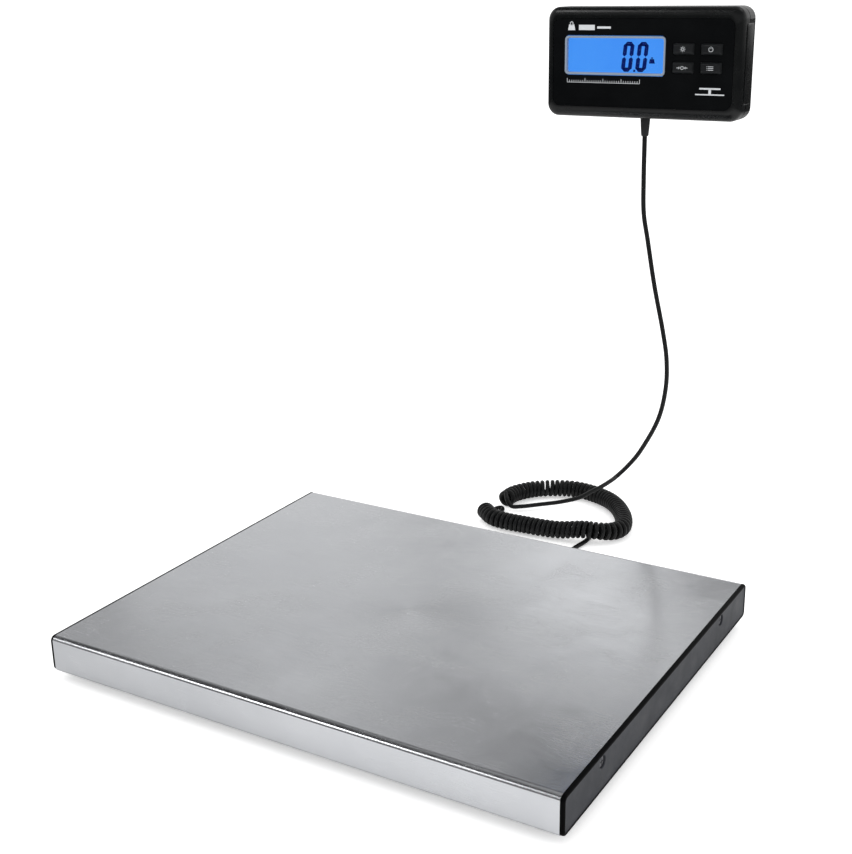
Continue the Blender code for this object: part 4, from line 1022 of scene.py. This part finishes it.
def key_marks(node):
    """A generic sign on each key: a lamp, a power sign, a zero between arrows, and a list."""
    centre, y = front_centre(node), box(node)[0].y
    strokes = []
    shapes = []
    if node == "key_light":
        shapes = ring_shapes(centre, 0.0009, MARK_LINE, y)
        rays = 8
        for i in range(rays):
            t = 2 * math.pi * i / rays
            strokes.append([(r * math.cos(t), r * math.sin(t)) for r in (0.0014, 0.0020)])
    elif node == "key_on_off":
        shapes = ring_shapes(centre, 0.0016, MARK_LINE, y, math.radians(120), math.radians(420))
        strokes.append([(0.0, 0.0003), (0.0, 0.0021)])
    elif node == "key_tare":
        shapes = ring_shapes(centre, 0.0011, MARK_LINE, y)
        for side in (-1, 1):
            tip, barb = side * 0.0019, 0.0008
            strokes.append([(side * 0.0042, 0.0), (tip, 0.0)])
            strokes.append([(tip + side * barb, barb), (tip, 0.0)])
            strokes.append([(tip + side * barb, -barb), (tip, 0.0)])
    else:
        for level in (-0.0012, 0.0, 0.0012):
            strokes.append([(-0.0016, level), (0.0024, level)])
            strokes.append([(-0.0026, level), (-0.0021, level)])
    return marks_mesh(shapes + [bar(centre, stroke, MARK_LINE, y) for stroke in strokes])


def cord_boot():
    """Tapered rubber boot round the cord, up to the head."""
    low, _ = box("cord_boot")
    centre = middle("cord_boot")
    length = box("front_shell")[0].z - low.z
    bore = CORD_RADIUS + 0.0002
    tip, top = 0.00285, 0.0037
    profile = [
        (bore, 0.0), (tip - 0.0008, 0.0), (tip - 0.0003, 0.0002), (tip, 0.0008),
        (tip + (top - tip) * 0.45, length * 0.4), (tip + (top - tip) * 0.85, length * 0.75),
        (top, length - 0.0010), (top, length - GAP), (bore, length - GAP),
    ]
    return revolved(profile, (centre.x, centre.y, low.z), "Z", 40)


def side_grip(side):
    """A shallow raised strip down the side of the head, half on each shell."""
    width, height = SIDE_GRIP_SIZE
    outline = rounded_rectangle(width, height, 0.0022)
    centre_y = (box("front_shell")[0].y + box("rear_shell")[1].y) / 2 + 0.001
    centre_z = middle("front_shell").z
    wall = outer_face("front_shell", side)
    rings = []
    for inset, proud in ((0.0, -0.0006), (0.0, 0.0003), (0.0003, 0.0006), (0.0008, 0.0007)):
        scale_a = 1 - 2 * inset / width
        scale_b = 1 - 2 * inset / height
        x = wall + side * proud
        rings.append([(x, centre_y + a * scale_a, centre_z + b * scale_b) for a, b in outline])
    return to_mesh(loft(rings))


def build_head():
    piece("front_shell_skin", front_shell(), "shell_plastic", "display", ["front_shell"])
    piece("label_skin", label_panel(), "label_film", "display", ["label_panel"])
    piece("lcd_border", lcd_frame(), "frame_silver", "display", ["lcd_frame"])
    piece("lcd_reading", lcd_reading(), "lcd_glass", "display", looks=["lcd_segment"])
    piece("label_marks", printed_marks(), "label_film", "display", looks=["print_white"])
    for node in KEYS:
        body = f"{node[4:]}_key_body"
        piece(f"{node}_skin", key_cap(node), "key_plastic", body, [node])
        piece(f"{node}_sign", key_marks(node), "key_plastic", body, looks=["print_white"])
    for hand, side in (("left", -1), ("right", 1)):
        piece(f"side_grip_{hand}", side_grip(side), "shell_plastic", "display")
    piece("cord_boot_skin", cord_boot(), "black_rubber", "display", ["cord_boot"])


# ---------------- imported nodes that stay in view

def dress_packed_nodes():
    """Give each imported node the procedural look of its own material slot."""
    for part in frame["record"]["subparts"]:
        node = frame["nodes"][part["node"]]
        for material_slot in node.material_slots:
            material_slot.material = look(part["material_slot"])


# ---------------- studio

def soft_spot(sky, seen_from, direction, width, strength, value):
    """Blend a strength into the sky's value around one direction."""
    dot = sky.add("VectorMath", {0: seen_from, 1: direction}, operation="DOT_PRODUCT").outputs["Value"]
    edge = math.cos(math.radians(width))
    share = sky.range(dot, 0.0, 1.0, edge, 1.0, "SMOOTHERSTEP")
    return sky.mix(share, value, strength, "FLOAT")


EVEN_LIGHT = 1.02               # of the surround on everything that scatters light
FAR_SKY, TOP_SKY = 0.82, 0.42   # brightness low behind the object and overhead, as the steel mirrors it
FRONT_SHARE = 0.55              # of that brightness left in front of the object
SKY_SPOTS = (                   # azimuth, elevation and width in degrees, and brightness
    (66, 48.0, 15.0, 0.03),     # dark above, for the line along the fold
    (84, 56.0, 20.0, 0.03),
    (105, 58.0, 20.0, 0.03),
    (30, 43.0, 9.0, 0.03),
    (44, 41.0, 9.0, 0.05),
    (24.0, 28.0, 7.2, 1.60),    # pale and grey clouds over the platter
    (24.7, 32.4, 4.9, 0.0),
    (30.3, 30.2, 4.0, 0.20),
    (48.5, 26.4, 4.2, 0.0),
    (15.0, 23.8, 7.3, 0.18),
    (29, 22.3, 4.0, 0.46),
    (150, 8.0, 24.0, 0.02),     # dark before the display's face
    (-50, 62.0, 14.0, 2.5),     # highlights on the display's corner and along the fold
    (128, 48.0, 9.0, 10.0),
)


def sky_direction(azimuth, elevation):
    """Unit vector; azimuth 0 is +Y and grows towards -X."""
    a, e = math.radians(azimuth), math.radians(elevation)
    return (-math.sin(a) * math.cos(e), math.cos(a) * math.cos(e), math.sin(e))


def studio_sky():
    """Soft surround: pale behind the object, dim above, greyer in front.

    Mirrored rays see the cloudy sky. Everything else is lit by an even surround.
    """
    world = bpy.data.worlds.new("studio")
    bpy.context.scene.world = world
    world.use_nodes = True
    world.cycles.sampling_method = "NONE"
    sky = Nodes(world.node_tree)
    seen_from = sky.add("TexCoord").outputs["Generated"]
    low, high = (math.sin(math.radians(elevation)) for elevation in (30, 46))
    height = sky.range(sky.part_of(seen_from, "Z"), FAR_SKY, TOP_SKY, low, high, "SMOOTHSTEP")
    front = sky.range(sky.part_of(seen_from, "Y"), FRONT_SHARE, 1.0, -0.25, 0.25, "SMOOTHSTEP")
    value = sky.maths("MULTIPLY", height, front)
    for azimuth, elevation, width, strength in SKY_SPOTS:
        value = soft_spot(sky, seen_from, sky_direction(azimuth, elevation), width, strength, value)
    mirrored = sky.add("LightPath").outputs["Is Glossy Ray"]
    background = sky.tree.nodes["Background"]
    sky.feed(background.inputs["Color"], (1.0, 1.0, 1.0))
    sky.feed(background.inputs["Strength"], sky.mix(mirrored, EVEN_LIGHT, value, "FLOAT"))


def soft_lamp(name, location, target, size, power):
    """A soft box that points at a target and is not seen in reflections."""
    lamp = bpy.data.lights.new(name, "AREA")
    lamp.shape = "RECTANGLE"
    lamp.size, lamp.size_y = size
    lamp.energy = power
    holder = place_in_scene(name, lamp)
    holder.location = location
    holder.visible_glossy = False
    holder.rotation_euler = (Vector(target) - Vector(location)).to_track_quat("-Z", "Y").to_euler()


FLOOR_HALF = 60.0
FLOOR_LIFT = 0.42               # glow that the camera sees, so that the floor stays white


def studio_floor():
    """A pale seamless floor. Reflections see it darken far away and to the left."""
    bm = bmesh.new()
    bmesh.ops.create_grid(bm, x_segments=4, y_segments=4, size=FLOOR_HALF)
    floor = place_in_scene("studio_floor", to_mesh(bm))
    pale = Look("studio_floor_look", (0.93, 0.93, 0.93), 0.9, specular=0.0)
    near = pale.mix(pale.range(pale.noise(0.8), 0.0, 1.0), (0.925, 0.925, 0.925), (0.935, 0.935, 0.935))
    apart = pale.add("VectorMath", {0: pale.place}, operation="LENGTH").outputs["Value"]
    far = pale.range(apart, 0.0, 1.0, 0.6, 1.8)
    left = pale.range(pale.part_of(pale.place, "X"), 0.24, 0.0, -0.22, 0.05)
    ray = pale.add("LightPath").outputs
    dimmed = pale.maths("MULTIPLY", pale.maths("MAXIMUM", far, left), ray["Is Glossy Ray"])
    pale.colours(dimmed, near, (0.04, 0.04, 0.04))
    pale.set("Emission Color", (1.0, 1.0, 1.0))
    pale.set("Emission Strength", pale.maths("MULTIPLY", ray["Is Camera Ray"], FLOOR_LIFT))
    floor.data.materials.append(pale.material)


def studio_lights():
    centre = (cad_low + cad_high) / 2
    soft_lamp("key_overhead", (-0.4, 0.1, 2.6), centre, (2.2, 1.6), 9.0)
    soft_lamp("left_front", (-1.8, -1.3, 2.2), centre, (1.0, 1.0), 5.0)
    soft_lamp("right_fill", (2.4, 0.6, 1.6), centre, (1.4, 1.4), 4.0)


# ---------------- camera

CAMERA_FROM_PLATFORM = Vector((0.448, -0.7128, 0.4511))
CAMERA_AZIMUTH = math.radians(31.19)
CAMERA_PITCH = math.radians(18.72)
CAMERA_ROLL = math.radians(1.06)
LENS, SENSOR = 56.56, 36.0


def make_camera():
    """A camera in front of the platform and to its right, above the height of the display."""
    platform = middle("platter_cover")
    data = bpy.data.cameras.new("camera")
    data.lens = LENS
    data.sensor_width = SENSOR
    data.clip_start = 0.01
    data.clip_end = 200.0
    camera = place_in_scene("camera", data)
    camera.location = Vector((platform.x, platform.y, 0.0)) + CAMERA_FROM_PLATFORM
    turn = Matrix.Rotation(CAMERA_AZIMUTH, 3, "Z")
    tip = Matrix.Rotation(math.radians(90) - CAMERA_PITCH, 3, "X")
    roll = Matrix.Rotation(-CAMERA_ROLL, 3, "Z")
    camera.rotation_euler = (turn @ tip @ roll).to_euler()
    bpy.context.scene.camera = camera
    bpy.context.scene.view_settings.view_transform = "Standard"


dress_packed_nodes()
build_platform()
build_cord()
build_lead()
build_head()
studio_sky()
studio_floor()
studio_lights()
make_camera()
